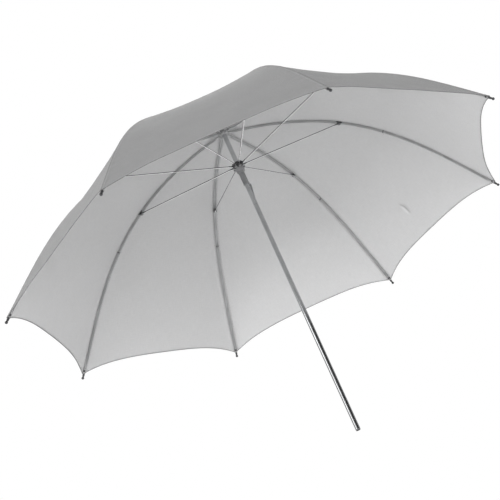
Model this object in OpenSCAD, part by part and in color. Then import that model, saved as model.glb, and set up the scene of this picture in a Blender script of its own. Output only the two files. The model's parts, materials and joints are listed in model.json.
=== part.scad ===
// Umbrella reflector: eight-rib umbrella with a scalloped fabric canopy on a
// plain round shaft. Upright, shaft along +Z, origin at the centre of the
// shaft's free end, crown at the top. Millimetres. Drawn fully open.
// Names ending in _s are arc lengths along a rib, measured from the shaft axis.

/* [Shaft] */
// Outer diameter of the shaft tube, which a stand or head bracket grips
shaft_d = 8; // [7.9:0.05:8.05]
// Wall thickness of the shaft tube
shaft_wall = 0.6; // [0.5:0.1:0.8]
// Height of the crown pivots above the free end of the shaft
crown_z = 588.5; // [580:0.5:600]
// Length of shaft above the crown pivots, inside the top ferrule
shaft_top = 22; // [20:1:24]

/* [Canopy] */
// Arc length from the shaft axis to a canopy corner, along a rib
corner_s = 529; // [524:1:531]
// How far the hem is pulled in at the middle of a gore, as a share of the arc
scallop = 0.0723; // [0.03:0.005:0.09]
// How much the pull-in flattens at the middle of the gore
scallop_flat = 0.0315; // [0:0.005:0.04]
// How far the fabric sags towards the shaft at mid gore
sag = 5; // [2:0.5:6]
// Thickness of the canopy solid
cloth_t = 0.4; // [0.3:0.1:1.2]

/* [Ribs] */
// Slope of a rib at the crown, degrees below level
phi_crown = 1; // [0.5:0.25:2]
// Slope of a rib at the tip, degrees below level
phi_tip = 49.4; // [46:0.2:50]
// Arc length over which the rib bends from the crown slope to the tip slope
bend_s = 474; // [470:1:476]
// Width of the rib channel
rib_w = 3.6; // [3.4:0.1:3.8]
// Depth of the rib channel
rib_h = 2.8; // [2.6:0.1:3]
// Sheet thickness of the rib channel
rib_t = 0.5; // [0.4:0.05:0.5]
// Arc length from the shaft axis to the joiner
joiner_s = 216.8; // [212:0.2:220]
// Diameter of the ball at each rib tip
ball_d = 4.8; // [4:0.2:6]

/* [Stretchers] */
// Diameter of the stretcher rod
rod_d = 2.2; // [1.8:0.1:2.3]
// Diameter of the joiner rivet
rivet_d = 1.6; // [1.4:0.1:1.7]

/* [Crown and runner] */
// Radius of the ring wire that the eyes turn on
wire_ring_r = 8; // [8:0.1:8.2]
// Diameter of the ring wire
wire_d = 1; // [0.8:0.1:1]
// Outer radius of the slotted rings
ring_r = 10.2; // [10:0.1:10.4]
// Length of the runner below its pivots
runner_len = 40; // [38:0.5:40]

/* [Catch] */
// Direction the catch faces, degrees round the shaft
catch_az = -10; // [-20:1:10]
// How far the catch stands out of the shaft
catch_out = 3.5; // [3:0.1:3.6]

/* [Hidden] */
$fn = 48;
ribs = 8;
step_az = 360 / ribs;
shaft_r = shaft_d / 2;
bore_r = shaft_r - shaft_wall;
radian = 180 / PI;   // in degrees

// Radial clearances
press_fit = 0.03;
pin_fit = 0.04;
eye_fit = 0.16;
rivet_fit = 0.05;

// ---- Rib line, as points [distance from axis, z]
function ease(t) = let (u = min(1, max(0, t))) u * u * (3 - 2 * u);
// degrees below level, a smooth function of arc length
function slope(s) = phi_crown + (phi_tip - phi_crown) * ease(s / bend_s);

// The line is drawn as tangent arcs between these stations (arc lengths);
// arc i runs from station i to station i + 1
channel_end_s = 521;
STATIONS = [wire_ring_r, 60, 110, 160, 226, 275, 325, 374, 425, bend_s,
  channel_end_s, 537];
function turn(i) = slope(STATIONS[i + 1]) - slope(STATIONS[i]);
function is_arc(i) = turn(i) > 0.01;
function arc_r(i) = (STATIONS[i + 1] - STATIONS[i]) * radian / turn(i);
function arc_end(start, slope0, slope1, radius) =
  start + radius * [sin(slope1) - sin(slope0), cos(slope1) - cos(slope0)];
function line_end(start, slope0, length) = start + length * [cos(slope0), -sin(slope0)];
function knot(i) = i == 0 ? [wire_ring_r, crown_z] :
  let (prev = knot(i - 1), slope0 = slope(STATIONS[i - 1]))
  is_arc(i - 1) ? arc_end(prev, slope0, slope(STATIONS[i]), arc_r(i - 1))
                : line_end(prev, slope0, STATIONS[i] - STATIONS[i - 1]);
KNOTS = [for (i = [0 : len(STATIONS) - 1]) knot(i)];

// index of the arc that holds arc length s
function arc_index(s, i = 0) =
  i >= len(STATIONS) - 2 || s < STATIONS[i + 1] ? i : arc_index(s, i + 1);
// slope and place of the drawn line at arc length s
function slope_at(s) = let (i = arc_index(s), slope0 = slope(STATIONS[i]))
  is_arc(i) ? slope0 + (s - STATIONS[i]) * radian / arc_r(i) : slope0;
function point_at(s) = let (i = arc_index(s), slope0 = slope(STATIONS[i]))
  is_arc(i) ? arc_end(KNOTS[i], slope0, slope_at(s), arc_r(i))
            : line_end(KNOTS[i], slope0, s - STATIONS[i]);

// ---- Four-bar: crown pivot, joiner pivot, runner pivot
ear_drop = 1.8;   // joiner pivot below the rib line
joiner_slope = slope_at(joiner_s);
joiner_pivot = point_at(joiner_s) - ear_drop * [sin(joiner_slope), cos(joiner_slope)];
runner_z = 2 * joiner_pivot[1] - crown_z;
stretcher_run = joiner_pivot - [wire_ring_r, runner_z];
stretcher_len = norm(stretcher_run);
stretcher_rise = atan2(stretcher_run[1], stretcher_run[0]);   // degrees

// ---- Shared placing and shapes
module at_rib(k) { rotate([0, 0, (k - 1) * step_az]) children(); }
// place children on the rib line at arc length s: X along the rib, Z outwards
module on_line(s) {
  place = point_at(s);
  translate([place[0], 0, place[1]]) rotate([0, slope_at(s), 0]) children();
}
module at_crown() { translate([0, 0, crown_z]) children(); }
module at_runner() { translate([0, 0, runner_z]) children(); }
// children, and their mirror image across the XZ plane
module both_sides() {
  for (side = [0, 1]) mirror([0, side, 0]) children();
}
// cylinder along Y, centred
module cross_pin(radius, length) {
  rotate([90, 0, 0]) cylinder(r = radius, h = length, center = true);
}

// ring with a slot for each eye and a groove for the wire
ring_h = 8;
slot_cut = [8, 2.2, 10];
groove_w = 1.2;
module slotted_ring(hole_r, slot_start) {
  difference() {
    cylinder(r = ring_r, h = ring_h, center = true);
    cylinder(r = hole_r, h = 20, center = true);
    for (k = [1 : ribs]) at_rib(k)
      translate([slot_start, -slot_cut[1] / 2, -slot_cut[2] / 2]) cube(slot_cut);
    rotate_extrude()
      translate([wire_ring_r - groove_w / 2, -groove_w / 2]) square([4, groove_w]);
  }
}
module wire_ring() {
  rotate_extrude() translate([wire_ring_r, 0]) circle(d = wire_d, $fn = 24);
}

// ---- Catch: a lever in the shaft's window, on a cross pin
catch_len = 36;         // pivot to top of the lever
catch_t = 1.2;
catch_gap = 1.1;        // lever top to runner
catch_pin_r = 0.8;
catch_pivot_z = runner_z - runner_len - catch_gap - catch_len;
catch_reach = shaft_r + catch_out;
// lever side view: [out from the shaft axis, up from the pivot]
CATCH_OUTLINE = [[-1.5, -2], [1.5, -2], [3.9, 4.5],
  [catch_reach, catch_len - 1], [catch_reach - 0.3, catch_len],
  [1.4, catch_len], [0.4, 24], [-1.5, 5]];
module at_catch() {
  rotate([0, 0, catch_az]) translate([0, 0, catch_pivot_z]) children();
}
module catch_lever() {
  color("silver") at_catch() difference() {
    rotate([90, 0, 0]) linear_extrude(catch_t, center = true) polygon(CATCH_OUTLINE);
    cross_pin(catch_pin_r + 0.06, 4);
  }
}
module catch_pin() {
  color("silver") at_catch() cross_pin(catch_pin_r, shaft_d - 0.2);
}

// ---- Crown
crown_pin_r = 1;
crown_neck_r = 6.5;
neck_hole_r = crown_neck_r + 0.3;   // in washer and ferrule
// ferrule half section: [radius, height above the crown pivots]
FERRULE_PROFILE = [[neck_hole_r, 9.2], [9.6, 9.2], [9.6, 10.2], [8.2, 10.8],
  [7.8, 15], [5.6, 18], [5.2, 26], [4.4, 27.4], [2.4, 28.4], [0, 28.6],
  [0, 22.6], [shaft_r + 0.04, 22.6], [shaft_r + 0.04, 14.6], [neck_hole_r, 14.6]];
// pin across shaft and crown neck, midway between two ribs; used inside at_crown
module crown_cross_pin(radius, length) {
  rotate([0, 0, step_az / 2]) translate([0, 0, 10]) cross_pin(radius, length);
}
module crown_notch() {
  hole_r = shaft_r + press_fit;
  color([0.12, 0.12, 0.13]) at_crown() {
    slotted_ring(hole_r = hole_r, slot_start = 5.6);
    // flange and neck above the ring
    difference() {
      union() {
        translate([0, 0, ring_h / 2]) cylinder(r = 11, h = 2);
        translate([0, 0, 5]) cylinder(r = crown_neck_r, h = 9);
      }
      translate([0, 0, 3]) cylinder(r = hole_r, h = 20);
      crown_cross_pin(crown_pin_r + pin_fit, 20);
    }
  }
}
module crown_wire() { color("silver") at_crown() wire_ring(); }
module crown_pin() {
  color("silver") at_crown() crown_cross_pin(crown_pin_r, 2 * crown_neck_r);
}
module top_washer() {
  color([0.1, 0.1, 0.11]) at_crown() translate([0, 0, 7.9]) difference() {
    cylinder(r = 15, h = 1);
    translate([0, 0, -1]) cylinder(r = neck_hole_r, h = 4);
  }
}
module top_ferrule() {
  color("gainsboro") at_crown() rotate_extrude() polygon(FERRULE_PROFILE);
}

// ---- Shaft
crimp_z = catch_pivot_z - 6.2;
crimp_depth = 0.3;
crimp_h = 1.2;
narrow_z = catch_pivot_z - 6.5;   // start of the narrowed bore behind the crimp
window_w = 1.6;
module shaft_tube() {
  color("gainsboro") difference() {
    cylinder(r = shaft_r, h = crown_z + shaft_top);
    // bore, narrowed at the crimp
    translate([0, 0, -1]) cylinder(r = bore_r, h = narrow_z + 1);
    translate([0, 0, narrow_z]) cylinder(r = bore_r - crimp_depth, h = 3);
    translate([0, 0, crimp_z + crimp_h]) cylinder(r = bore_r, h = 300);
    // rolled crimp under the catch
    translate([0, 0, crimp_z]) rotate_extrude()
      translate([shaft_r - crimp_depth, 0]) square([2, crimp_h]);
    // window for the catch
    at_catch() translate([0.4, -window_w / 2, 2.5]) cube([6, window_w, 36.5]);
    at_catch() cross_pin(catch_pin_r + pin_fit, 12);
    at_crown() crown_cross_pin(crown_pin_r + pin_fit, 12);
  }
}
plug_gap = 0.06;   // cap to the end of the tube
cap_h = 1.14;
module end_plug() {
  color("dimgray") difference() {
    union() {
      translate([0, 0, -plug_gap]) cylinder(r = bore_r - 0.04, h = 12);
      // cap, narrowing upwards
      translate([0, 0, -plug_gap - cap_h]) rotate_extrude() intersection() {
        circle(r = shaft_r - 0.2);
        square([5, cap_h]);
      }
    }
    translate([0, 0, 2]) cylinder(r = 2.2, h = 12);
  }
}

// ---- Runner
sleeve_r = 5.2;
runner_flange_h = 2;
module runner_sleeve() {
  color([0.55, 0.56, 0.57]) translate([0, 0, runner_z - runner_len]) difference() {
    union() {
      cylinder(r = sleeve_r, h = runner_len + 3);
      // collar at the foot and band below the head
      cylinder(r = 5.7, h = 1.6);
      translate([0, 0, runner_len - 16]) cylinder(r = 5.5, h = 1.4);
    }
    translate([0, 0, -1]) cylinder(r = shaft_r + 0.12, h = runner_len + 10);
  }
}
module runner_head() {
  hole_r = sleeve_r + press_fit;
  color([0.12, 0.12, 0.13]) at_runner() {
    slotted_ring(hole_r = hole_r, slot_start = 5.95);
    // flange and hub below the ring
    difference() {
      union() {
        translate([0, 0, -ring_h / 2 - runner_flange_h])
          cylinder(r = 10.8, h = runner_flange_h);
        translate([0, 0, -13.5]) cylinder(r = 7.4, h = 8);
      }
      translate([0, 0, -20]) cylinder(r = hole_r, h = 30);
    }
  }
}
module runner_wire() { color("silver") at_runner() wire_ring(); }

// ---- Ribs: one springy channel, drawn as three lengths
lap = 0.2;          // how far one arc of a rib runs into the next
length_gap = 0.1;   // cut from each end where two lengths meet
eye_r = 1.8;
eye_t = 1.6;
eye_flat_h = 2.4;
ear_r = 2.6;
peg_r = 1.1;        // peg in the channel's end, which carries the tip
peg_lift = 0.15;    // peg axis outwards from the rib line
// channel section, open inwards: [outwards from the rib line, across it]
CHANNEL = [[-rib_h / 2, -rib_w / 2], [rib_h / 2, -rib_w / 2],
  [rib_h / 2, rib_w / 2], [-rib_h / 2, rib_w / 2],
  [-rib_h / 2, rib_w / 2 - rib_t], [rib_h / 2 - rib_t, rib_w / 2 - rib_t],
  [rib_h / 2 - rib_t, -rib_w / 2 + rib_t], [-rib_h / 2, -rib_w / 2 + rib_t]];

module channel_arc(i, cut_start, cut_end) {
  radius = arc_r(i);
  slope0 = slope(STATIONS[i]);
  start = slope0 + cut_start * radian / radius;
  end = slope(STATIONS[i + 1]) - cut_end * radian / radius;
  centre = KNOTS[i] - radius * [sin(slope0), cos(slope0)];
  translate([centre[0], 0, centre[1]]) rotate([90, 0, 0]) rotate([0, 0, 90 - end])
    rotate_extrude(angle = end - start, $fn = 720)
      polygon([for (p = CHANNEL) [radius + p[0], p[1]]]);
}
// arcs first to last, each running into the next
module channel_arcs(first, last, cut_start, cut_end) {
  for (i = [first : last])
    channel_arc(i, i == first ? cut_start : 0, i == last ? cut_end : -lap);
}
module channel_line(s, length) {
  on_line(s) rotate([90, 0, 90]) linear_extrude(length)
    polygon([for (p = CHANNEL) [p[1], p[0]]]);
}
module on_peg_axis(s) {
  on_line(s) translate([0, 0, peg_lift]) rotate([0, 90, 0]) children();
}
module rib_inner(k) {
  color("darkgray") at_rib(k) difference() {
    union() {
      channel_arcs(first = 0, last = 3, cut_start = 5.2, cut_end = length_gap);
      // flattened end with its eye
      on_line(wire_ring_r) {
        cross_pin(eye_r, eye_t);
        translate([0, -eye_t / 2, -eye_flat_h / 2]) cube([11, eye_t, eye_flat_h]);
      }
      // ears of the joiner
      on_line(joiner_s) both_sides() {
        translate([-ear_r, rib_w / 2 - rib_t, -ear_drop])
          cube([2 * ear_r, rib_t, ear_drop]);
        translate([0, rib_w / 2 - rib_t / 2, -ear_drop]) cross_pin(ear_r, rib_t);
      }
    }
    on_line(wire_ring_r) cross_pin(wire_d / 2 + eye_fit, 4);
    on_line(joiner_s) translate([0, 0, -ear_drop])
      cross_pin(rivet_d / 2 + rivet_fit, 8);
  }
}
module rib_middle(k) {
  color("darkgray") at_rib(k)
    channel_arcs(first = 4, last = 6, cut_start = length_gap, cut_end = length_gap);
}
module rib_outer(k) {
  color("darkgray") at_rib(k) {
    channel_arcs(first = 7, last = 8, cut_start = length_gap, cut_end = -lap);
    channel_line(bend_s, channel_end_s - bend_s);
    on_peg_axis(channel_end_s - 4) cylinder(r = peg_r, h = 16);
  }
}
module rib_tip(k) {
  color("dimgray") at_rib(k) on_peg_axis(channel_end_s + 0.4) difference() {
    union() {
      cylinder(r = 1.9, h = 11);
      translate([0, 0, 14.7]) sphere(d = ball_d, $fn = 32);
      cylinder(r = 1.5, h = 14);
    }
    translate([0, 0, -1]) cylinder(r = peg_r + press_fit, h = 12.8);
  }
}

// ---- Stretchers, each with its joiner rivet
rod_eye_r = 1.7;
runner_eye_t = 1.5;
joiner_eye_t = 1.8;
rod_flat = 9;      // length of the flat at each end
rod_start = 5.6;   // pivot to the end of the round rod
module stretcher(k) {
  at_rib(k) translate([wire_ring_r, 0, runner_z]) rotate([0, -stretcher_rise, 0]) {
    color("silver") difference() {
      union() {
        cross_pin(rod_eye_r, runner_eye_t);
        translate([0, -runner_eye_t / 2, -rod_d / 2])
          cube([rod_flat, runner_eye_t, rod_d]);
        translate([rod_start, 0, 0]) rotate([0, 90, 0])
          cylinder(d = rod_d, h = stretcher_len - 2 * rod_start);
        translate([stretcher_len - rod_flat, -joiner_eye_t / 2, -rod_d / 2])
          cube([rod_flat, joiner_eye_t, rod_d]);
        translate([stretcher_len, 0, 0]) cross_pin(rod_eye_r, joiner_eye_t);
      }
      cross_pin(wire_d / 2 + eye_fit, 4);
      translate([stretcher_len, 0, 0]) cross_pin(rivet_d / 2 + rivet_fit, 8);
    }
    // rivet and its two heads
    color("gray") translate([stretcher_len, 0, 0]) {
      cross_pin(rivet_d / 2, rib_w + 0.4);
      both_sides() translate([0, rib_w / 2 + 0.35, 0]) cross_pin(1.5, 0.5);
    }
  }
}

// ---- Canopy: eight gores in one thin closed sheet
gore_steps = 8;     // across a gore
hem_steps = 18;     // from crown to hem
canopy_start_s = 8;
canopy_lift = 2.7;  // inside of the cloth above the rib line
hem_sag = 1;        // extra sag at the hem
mound_h = 4.3;      // extra height round the crown, fading out over mound_fade
mound_s = 13;
mound_fade = 32;
// v runs across a gore from -1 to 1, u from crown (0) to hem (1)
function hem_s(v) =
  corner_s * (1 - scallop * (1 - v * v) + scallop_flat * pow(1 - v * v, 2));
function around(p, az) = [p[0] * cos(az), p[0] * sin(az), p[1]];
function canopy_pt(gore, v, u, offset) =
  let (s = canopy_start_s + u * (hem_s(v) - canopy_start_s),
       p = point_at(s),
       tilt = slope_at(s),
       az0 = gore * step_az,
       az1 = az0 + step_az,
       share = (1 + v) / 2,
       mound = mound_h * (1 - ease((s - mound_s) / mound_fade)),
       rise = offset + mound - (sag * sin(180 * u) + hem_sag * u) * (1 - v * v),
       // at a rib the two gores meet, so the offset is taken in the rib's plane
       normal_az = share == 0 ? az0 : (az0 + az1) / 2)
  around(p, az0) * (1 - share) + around(p, az1) * share
    + around([sin(tilt), cos(tilt)], normal_az) * rise;
module canopy() {
  columns = ribs * gore_steps;
  rows = hem_steps + 1;
  hem = hem_steps;
  points = [for (side = [0, 1]) for (j = [0 : columns - 1]) for (i = [0 : hem])
    canopy_pt(floor(j / gore_steps), 2 * (j % gore_steps) / gore_steps - 1,
              i / hem, canopy_lift + side * cloth_t)];
  // side 0 is the inside of the cloth, side 1 the outside
  function id(side, j, i) = side * columns * rows + (j % columns) * rows + i;
  faces = [for (j = [0 : columns - 1]) each concat(
    [for (i = [0 : hem - 1]) each [
      [id(1, j + 1, i + 1), id(1, j, i + 1), id(1, j, i)],
      [id(1, j + 1, i), id(1, j + 1, i + 1), id(1, j, i)],
      [id(0, j, i + 1), id(0, j + 1, i + 1), id(0, j, i)],
      [id(0, j + 1, i + 1), id(0, j + 1, i), id(0, j, i)]]],
    // edges at the hem and round the crown
    [[id(1, j + 1, hem), id(0, j + 1, hem), id(0, j, hem)],
     [id(1, j, hem), id(1, j + 1, hem), id(0, j, hem)],
     [id(0, j + 1, 0), id(1, j + 1, 0), id(0, j, 0)],
     [id(1, j + 1, 0), id(1, j, 0), id(0, j, 0)]])];
  color([0.62, 0.63, 0.64]) polyhedron(points, faces, convexity = 6);
}

// ---- Tie strap, sewn to the outside of one gore
strap_s = 445;
strap_w = 18;
strap_len = 104;
strap_t = 1.2;
strap_y = -12;   // square end
module on_gore() {
  p = point_at(strap_s);
  rotate([0, 0, step_az / 2]) translate([p[0] * cos(step_az / 2), 0, p[1]])
    rotate([0, slope_at(strap_s), 0]) translate([0, 0, 4]) children();
}
module tie_strap() {
  color([0.4, 0.41, 0.42]) on_gore() union() {
    translate([-strap_w / 2, strap_y, 0]) cube([strap_w, strap_len, strap_t]);
    translate([0, strap_y + strap_len, 0]) cylinder(r = strap_w / 2, h = strap_t);
  }
}
module strap_snap() {
  color("silver") on_gore() translate([0, 90, strap_t + 0.05]) union() {
    cylinder(r = 5, h = 1);
    cylinder(r = 3.6, h = 1.8);
  }
}

shaft_tube();
end_plug();
crown_notch();
crown_wire();
crown_pin();
top_ferrule();
top_washer();
catch_lever();
catch_pin();
runner_sleeve();
runner_head();
runner_wire();
canopy();
tie_strap();
strap_snap();
rib_inner(1);  // rib_1_inner
rib_middle(1);  // rib_1_middle
rib_outer(1);  // rib_1_outer
rib_tip(1);  // rib_tip_1
stretcher(1);  // stretcher_1
rib_inner(2);  // rib_2_inner
rib_middle(2);  // rib_2_middle
rib_outer(2);  // rib_2_outer
rib_tip(2);  // rib_tip_2
stretcher(2);  // stretcher_2
rib_inner(3);  // rib_3_inner
rib_middle(3);  // rib_3_middle
rib_outer(3);  // rib_3_outer
rib_tip(3);  // rib_tip_3
stretcher(3);  // stretcher_3
rib_inner(4);  // rib_4_inner
rib_middle(4);  // rib_4_middle
rib_outer(4);  // rib_4_outer
rib_tip(4);  // rib_tip_4
stretcher(4);  // stretcher_4
rib_inner(5);  // rib_5_inner
rib_middle(5);  // rib_5_middle
rib_outer(5);  // rib_5_outer
rib_tip(5);  // rib_tip_5
stretcher(5);  // stretcher_5
rib_inner(6);  // rib_6_inner
rib_middle(6);  // rib_6_middle
rib_outer(6);  // rib_6_outer
rib_tip(6);  // rib_tip_6
stretcher(6);  // stretcher_6
rib_inner(7);  // rib_7_inner
rib_middle(7);  // rib_7_middle
rib_outer(7);  // rib_7_outer
rib_tip(7);  // rib_tip_7
stretcher(7);  // stretcher_7
rib_inner(8);  // rib_8_inner
rib_middle(8);  // rib_8_middle
rib_outer(8);  // rib_8_outer
rib_tip(8);  // rib_tip_8
stretcher(8);  // stretcher_8
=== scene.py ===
import bpy
import json
import math
import numpy as np
from mathutils import Matrix, Vector

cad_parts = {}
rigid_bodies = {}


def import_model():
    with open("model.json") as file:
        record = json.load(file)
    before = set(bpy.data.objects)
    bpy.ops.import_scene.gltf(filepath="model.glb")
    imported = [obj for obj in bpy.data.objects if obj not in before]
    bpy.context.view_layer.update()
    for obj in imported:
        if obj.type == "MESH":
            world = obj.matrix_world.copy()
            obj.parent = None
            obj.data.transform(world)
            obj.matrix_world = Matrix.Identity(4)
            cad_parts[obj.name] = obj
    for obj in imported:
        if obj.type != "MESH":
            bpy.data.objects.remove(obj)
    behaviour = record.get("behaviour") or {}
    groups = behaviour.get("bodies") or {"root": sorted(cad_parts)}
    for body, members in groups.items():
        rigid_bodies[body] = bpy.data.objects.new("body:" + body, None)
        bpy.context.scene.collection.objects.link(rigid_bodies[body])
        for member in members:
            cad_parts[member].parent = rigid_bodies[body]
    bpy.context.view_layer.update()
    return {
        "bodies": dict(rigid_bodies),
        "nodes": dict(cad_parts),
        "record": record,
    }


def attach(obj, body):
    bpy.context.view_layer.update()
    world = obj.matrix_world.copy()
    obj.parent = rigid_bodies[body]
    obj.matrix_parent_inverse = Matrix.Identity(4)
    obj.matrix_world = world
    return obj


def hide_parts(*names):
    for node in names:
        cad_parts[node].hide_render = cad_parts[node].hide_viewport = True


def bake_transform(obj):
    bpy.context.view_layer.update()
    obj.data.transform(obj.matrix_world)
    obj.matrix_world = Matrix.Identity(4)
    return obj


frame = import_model()


REC = frame["record"]
JOINTS = REC["behaviour"]["joints"]
COUPLE = {c["joint"]: c for c in REC["behaviour"].get("couplings", [])}
JN = {j["name"]: j for j in JOINTS}
NODES = frame["nodes"]
RNG = np.random.default_rng(7)
MM = 0.001

# ------------------------------------------------------------------ rib line
# same rule as the CAD: slope below level eases from the crown to the tip, drawn as tangent arcs
RING_R = JN["fold"]["pos_m"][0] * 1000
CROWN_Z = JN["fold"]["pos_m"][2] * 1000
RUN_Z = JN["runner_pivot"]["pos_m"][2] * 1000
PHI0, PHI1, BEND = 1.0, 49.4, 474.0
JOIN_S, TIP_S, CORNER_S = 216.8, 536.1, 529.0
KN = np.array([RING_R, 60, 110, 160, 226, 275, 325, 374, 425, 474, 521, 560.0])


def ease(t):
    u = np.clip(t, 0, 1)
    return u * u * (3 - 2 * u)


KA = np.radians(PHI0 + (PHI1 - PHI0) * ease(KN / BEND))
KP = [(RING_R, CROWN_Z)]
for i in range(1, len(KN)):
    a0, a1, l = KA[i - 1], KA[i], KN[i] - KN[i - 1]
    p = KP[-1]
    if a1 - a0 > 1e-4:
        q = l / (a1 - a0)
        KP.append((p[0] + q * (math.sin(a1) - math.sin(a0)), p[1] + q * (math.cos(a1) - math.cos(a0))))
    else:
        KP.append((p[0] + l * math.cos(a0), p[1] - l * math.sin(a0)))
KP = np.array(KP)


def at(s):
    """(r, z, slope in radians) of the rib line at arc length s, arrays in mm."""
    s = np.asarray(s, float)
    i = np.clip(np.searchsorted(KN, s, side="right") - 1, 0, len(KN) - 2)
    a0, a1, ds = KA[i], KA[i + 1], s - KN[i]
    length = KN[i + 1] - KN[i]
    da = a1 - a0
    arc = da > 1e-4
    q = np.where(arc, length / np.where(arc, da, 1), 1)
    a = np.where(arc, a0 + ds / q, a0)
    r = np.where(arc, KP[i, 0] + q * (np.sin(a) - np.sin(a0)), KP[i, 0] + ds * np.cos(a0))
    z = np.where(arc, KP[i, 1] + q * (np.cos(a) - np.cos(a0)), KP[i, 1] - ds * np.sin(a0))
    return r, z, a


# ------------------------------------------------------------------ closed pose, for the cloth's folded shape
FOLD_MAX = math.radians(JN["fold"]["range_deg"][1])


def pose_matrices(q):
    vals = {j["name"]: 0.0 for j in JOINTS}
    vals["fold"] = q
    for name, c in COUPLE.items():
        vals[name] = c["ratio"] * vals[c["follows"]]
    mats = {"shaft": np.eye(4)}
    todo = list(JOINTS)
    while todo:
        rest = []
        for j in todo:
            if j["parent"] in mats:
                m = Matrix.Translation(Vector(j["pos_m"])) @ Matrix.Rotation(vals[j["name"]], 4, Vector(j["axis"])) @ Matrix.Translation(-Vector(j["pos_m"]))
                mats[j["child"]] = mats[j["parent"]] @ np.array(m)
            else:
                rest.append(j)
        todo = rest
    return mats


PART_WAY = (0.3, 0.55, 0.8)         # fractions of the fold at which the slack cloth has a shape of its own
CLOSED = pose_matrices(FOLD_MAX)
HALF_SHUT = {f: pose_matrices(FOLD_MAX * f) for f in PART_WAY}

# ------------------------------------------------------------------ canopy surface
RIBS, STEP = 8, math.radians(45)
HEM_IN = 8.0
SCALLOP, SCALLOP_FLAT, SAG = 0.0723, 0.0315, 5.0
LIFT_IN, LIFT_OUT = 2.75, 3.05


def hem_s(v):
    w = 1 - v * v
    return CORNER_S * (1 - SCALLOP * w + SCALLOP_FLAT * w * w)


def gore_base(g, s, v, off):
    """Point on gore g at arc length s, place v across it (-1 to 1), off mm outside the rib line. Arrays in mm."""
    g, s, v, off = np.broadcast_arrays(np.asarray(g, float), s, v, off)
    r, z, f = at(s)
    a0 = g * STEP
    a1 = a0 + STEP
    am = (a0 + a1) / 2
    w = (1 + v) / 2
    x = r * ((1 - w) * np.cos(a0) + w * np.cos(a1))
    y = r * ((1 - w) * np.sin(a0) + w * np.sin(a1))
    u = (s - HEM_IN) / (hem_s(v) - HEM_IN)
    bump = 4.2 * (1 - ease((s - 13) / 32))
    sag = (SAG * np.sin(np.pi * np.clip(u, 0, 1)) + np.clip(u, 0, 1.1)) * (1 - v * v)
    d = off + bump - sag
    # the two gores share one offset direction on the rib and turn to the gore's own within a few mm
    hw = np.maximum(r * math.sin(STEP / 2), 1)
    k = np.clip((1 - np.abs(v)) * hw / 2.5, 0, 1)
    ar = np.where(v < 0, a0, a1)
    an = ar + (am - ar) * k
    p = np.stack([x, y, z], -1)
    n = np.stack([np.sin(f) * np.cos(an), np.sin(f) * np.sin(an), np.cos(f)], -1)
    return p + n * d[..., None]


PINCH = (441.0, 9.4)          # arc length and place across the first gore, mm


def cloth_relief(g, s, v):
    """Small height changes of the cloth, in mm, outwards: tension ripples and the pinch where the strap is sewn."""
    r, z, f = at(s)
    hw = np.maximum(r * math.sin(STEP / 2), 1)
    y = v * hw
    edge = (1 - np.abs(v)) * hw
    h = 0.35 * np.sin(s / 21.0 + 1.7 * g + 2.2 * np.sin(y / 47.0 + g)) * np.sin(y / 33.0 + 0.9 * g) * ease(edge / 30) * ease((s - 60) / 120)
    # faint radial tension lines that fan out of each corner
    for sgn in (-1, 1):
        ds, dy = CORNER_S + 6 - s, hw - sgn * y
        dist = np.hypot(ds, dy) + 1e-6
        ang = np.arctan2(dy, ds + 1e-9)
        h = h + 0.28 * np.sin(ang * 17 + g * 1.3) * np.exp(-dist / 70) * ease(dist / 25)
    # gathers beside the seam
    h = h + 0.10 * np.sin(s / 3.4 + 2 * np.sin(s / 31.0 + g)) * np.exp(-((edge - 6) / 7) ** 2) * ease((s - 30) / 60)
    # crease where the strap is sewn on, first gore: a dent to the outside, steep on one flank
    a = (np.asarray(g) % RIBS == 0)
    ds = s - PINCH[0]
    yy = y - PINCH[1]
    across = np.where(yy < 0, np.exp(-(yy / 6.5) ** 2), np.exp(-(yy / 7.5) ** 2))
    pinch = 4.2 * across * np.exp(-(ds / 12.0) ** 2)
    dist = np.hypot(yy, ds)
    pull = 0.8 * np.cos(np.arctan2(yy, ds) * 3) * np.exp(-dist / 24.0) * (1 - np.exp(-(dist / 13.0) ** 2))
    return h + np.where(a, pinch + pull, 0.0)


def gore_pt(g, s, v, off):
    return gore_base(g, s, v, off + cloth_relief(g, s, v))


# weights: which bodies carry a point of the cloth
def cloth_weights(g, s, v):
    g, s, v = np.broadcast_arrays(np.asarray(g), s, v)
    shaft = 1 - ease((s - 15) / 34)
    mid = ease((s - (226 - 42)) / 84)
    end = ease((s - (374 - 42)) / 84)
    parts = {"": 1 - mid, "_mid": mid * (1 - end), "_end": mid * end}
    w = (1 + v) / 2
    # stay rigid with a rib close to it
    w = ease(w) * 0.35 + w * 0.65
    out = []
    for side, ws in ((0, 1 - w), (1, w)):
        k = (g.astype(int) + side) % RIBS + 1
        for tail, wt in parts.items():
            out.append((k, tail, (1 - shaft) * ws * wt))
    return shaft, out


def blended(points, g, s, v, mats):
    """Linear blend of the bodies' matrices, as the armature does it."""
    shaft, parts = cloth_weights(g, s, v)
    n = len(points)
    m = np.zeros((n, 4, 4)) + shaft[:, None, None] * mats["shaft"]
    for k, tail, wt in parts:
        stack = np.array([mats[f"rib_{i}{tail}"] for i in range(1, RIBS + 1)])
        m += wt[:, None, None] * stack[k - 1]
    hom = np.concatenate([points, np.ones((n, 1))], 1)
    return m, np.einsum("nij,nj->ni", m, hom)[:, :3]


SWIRL = math.radians(150)


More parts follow.
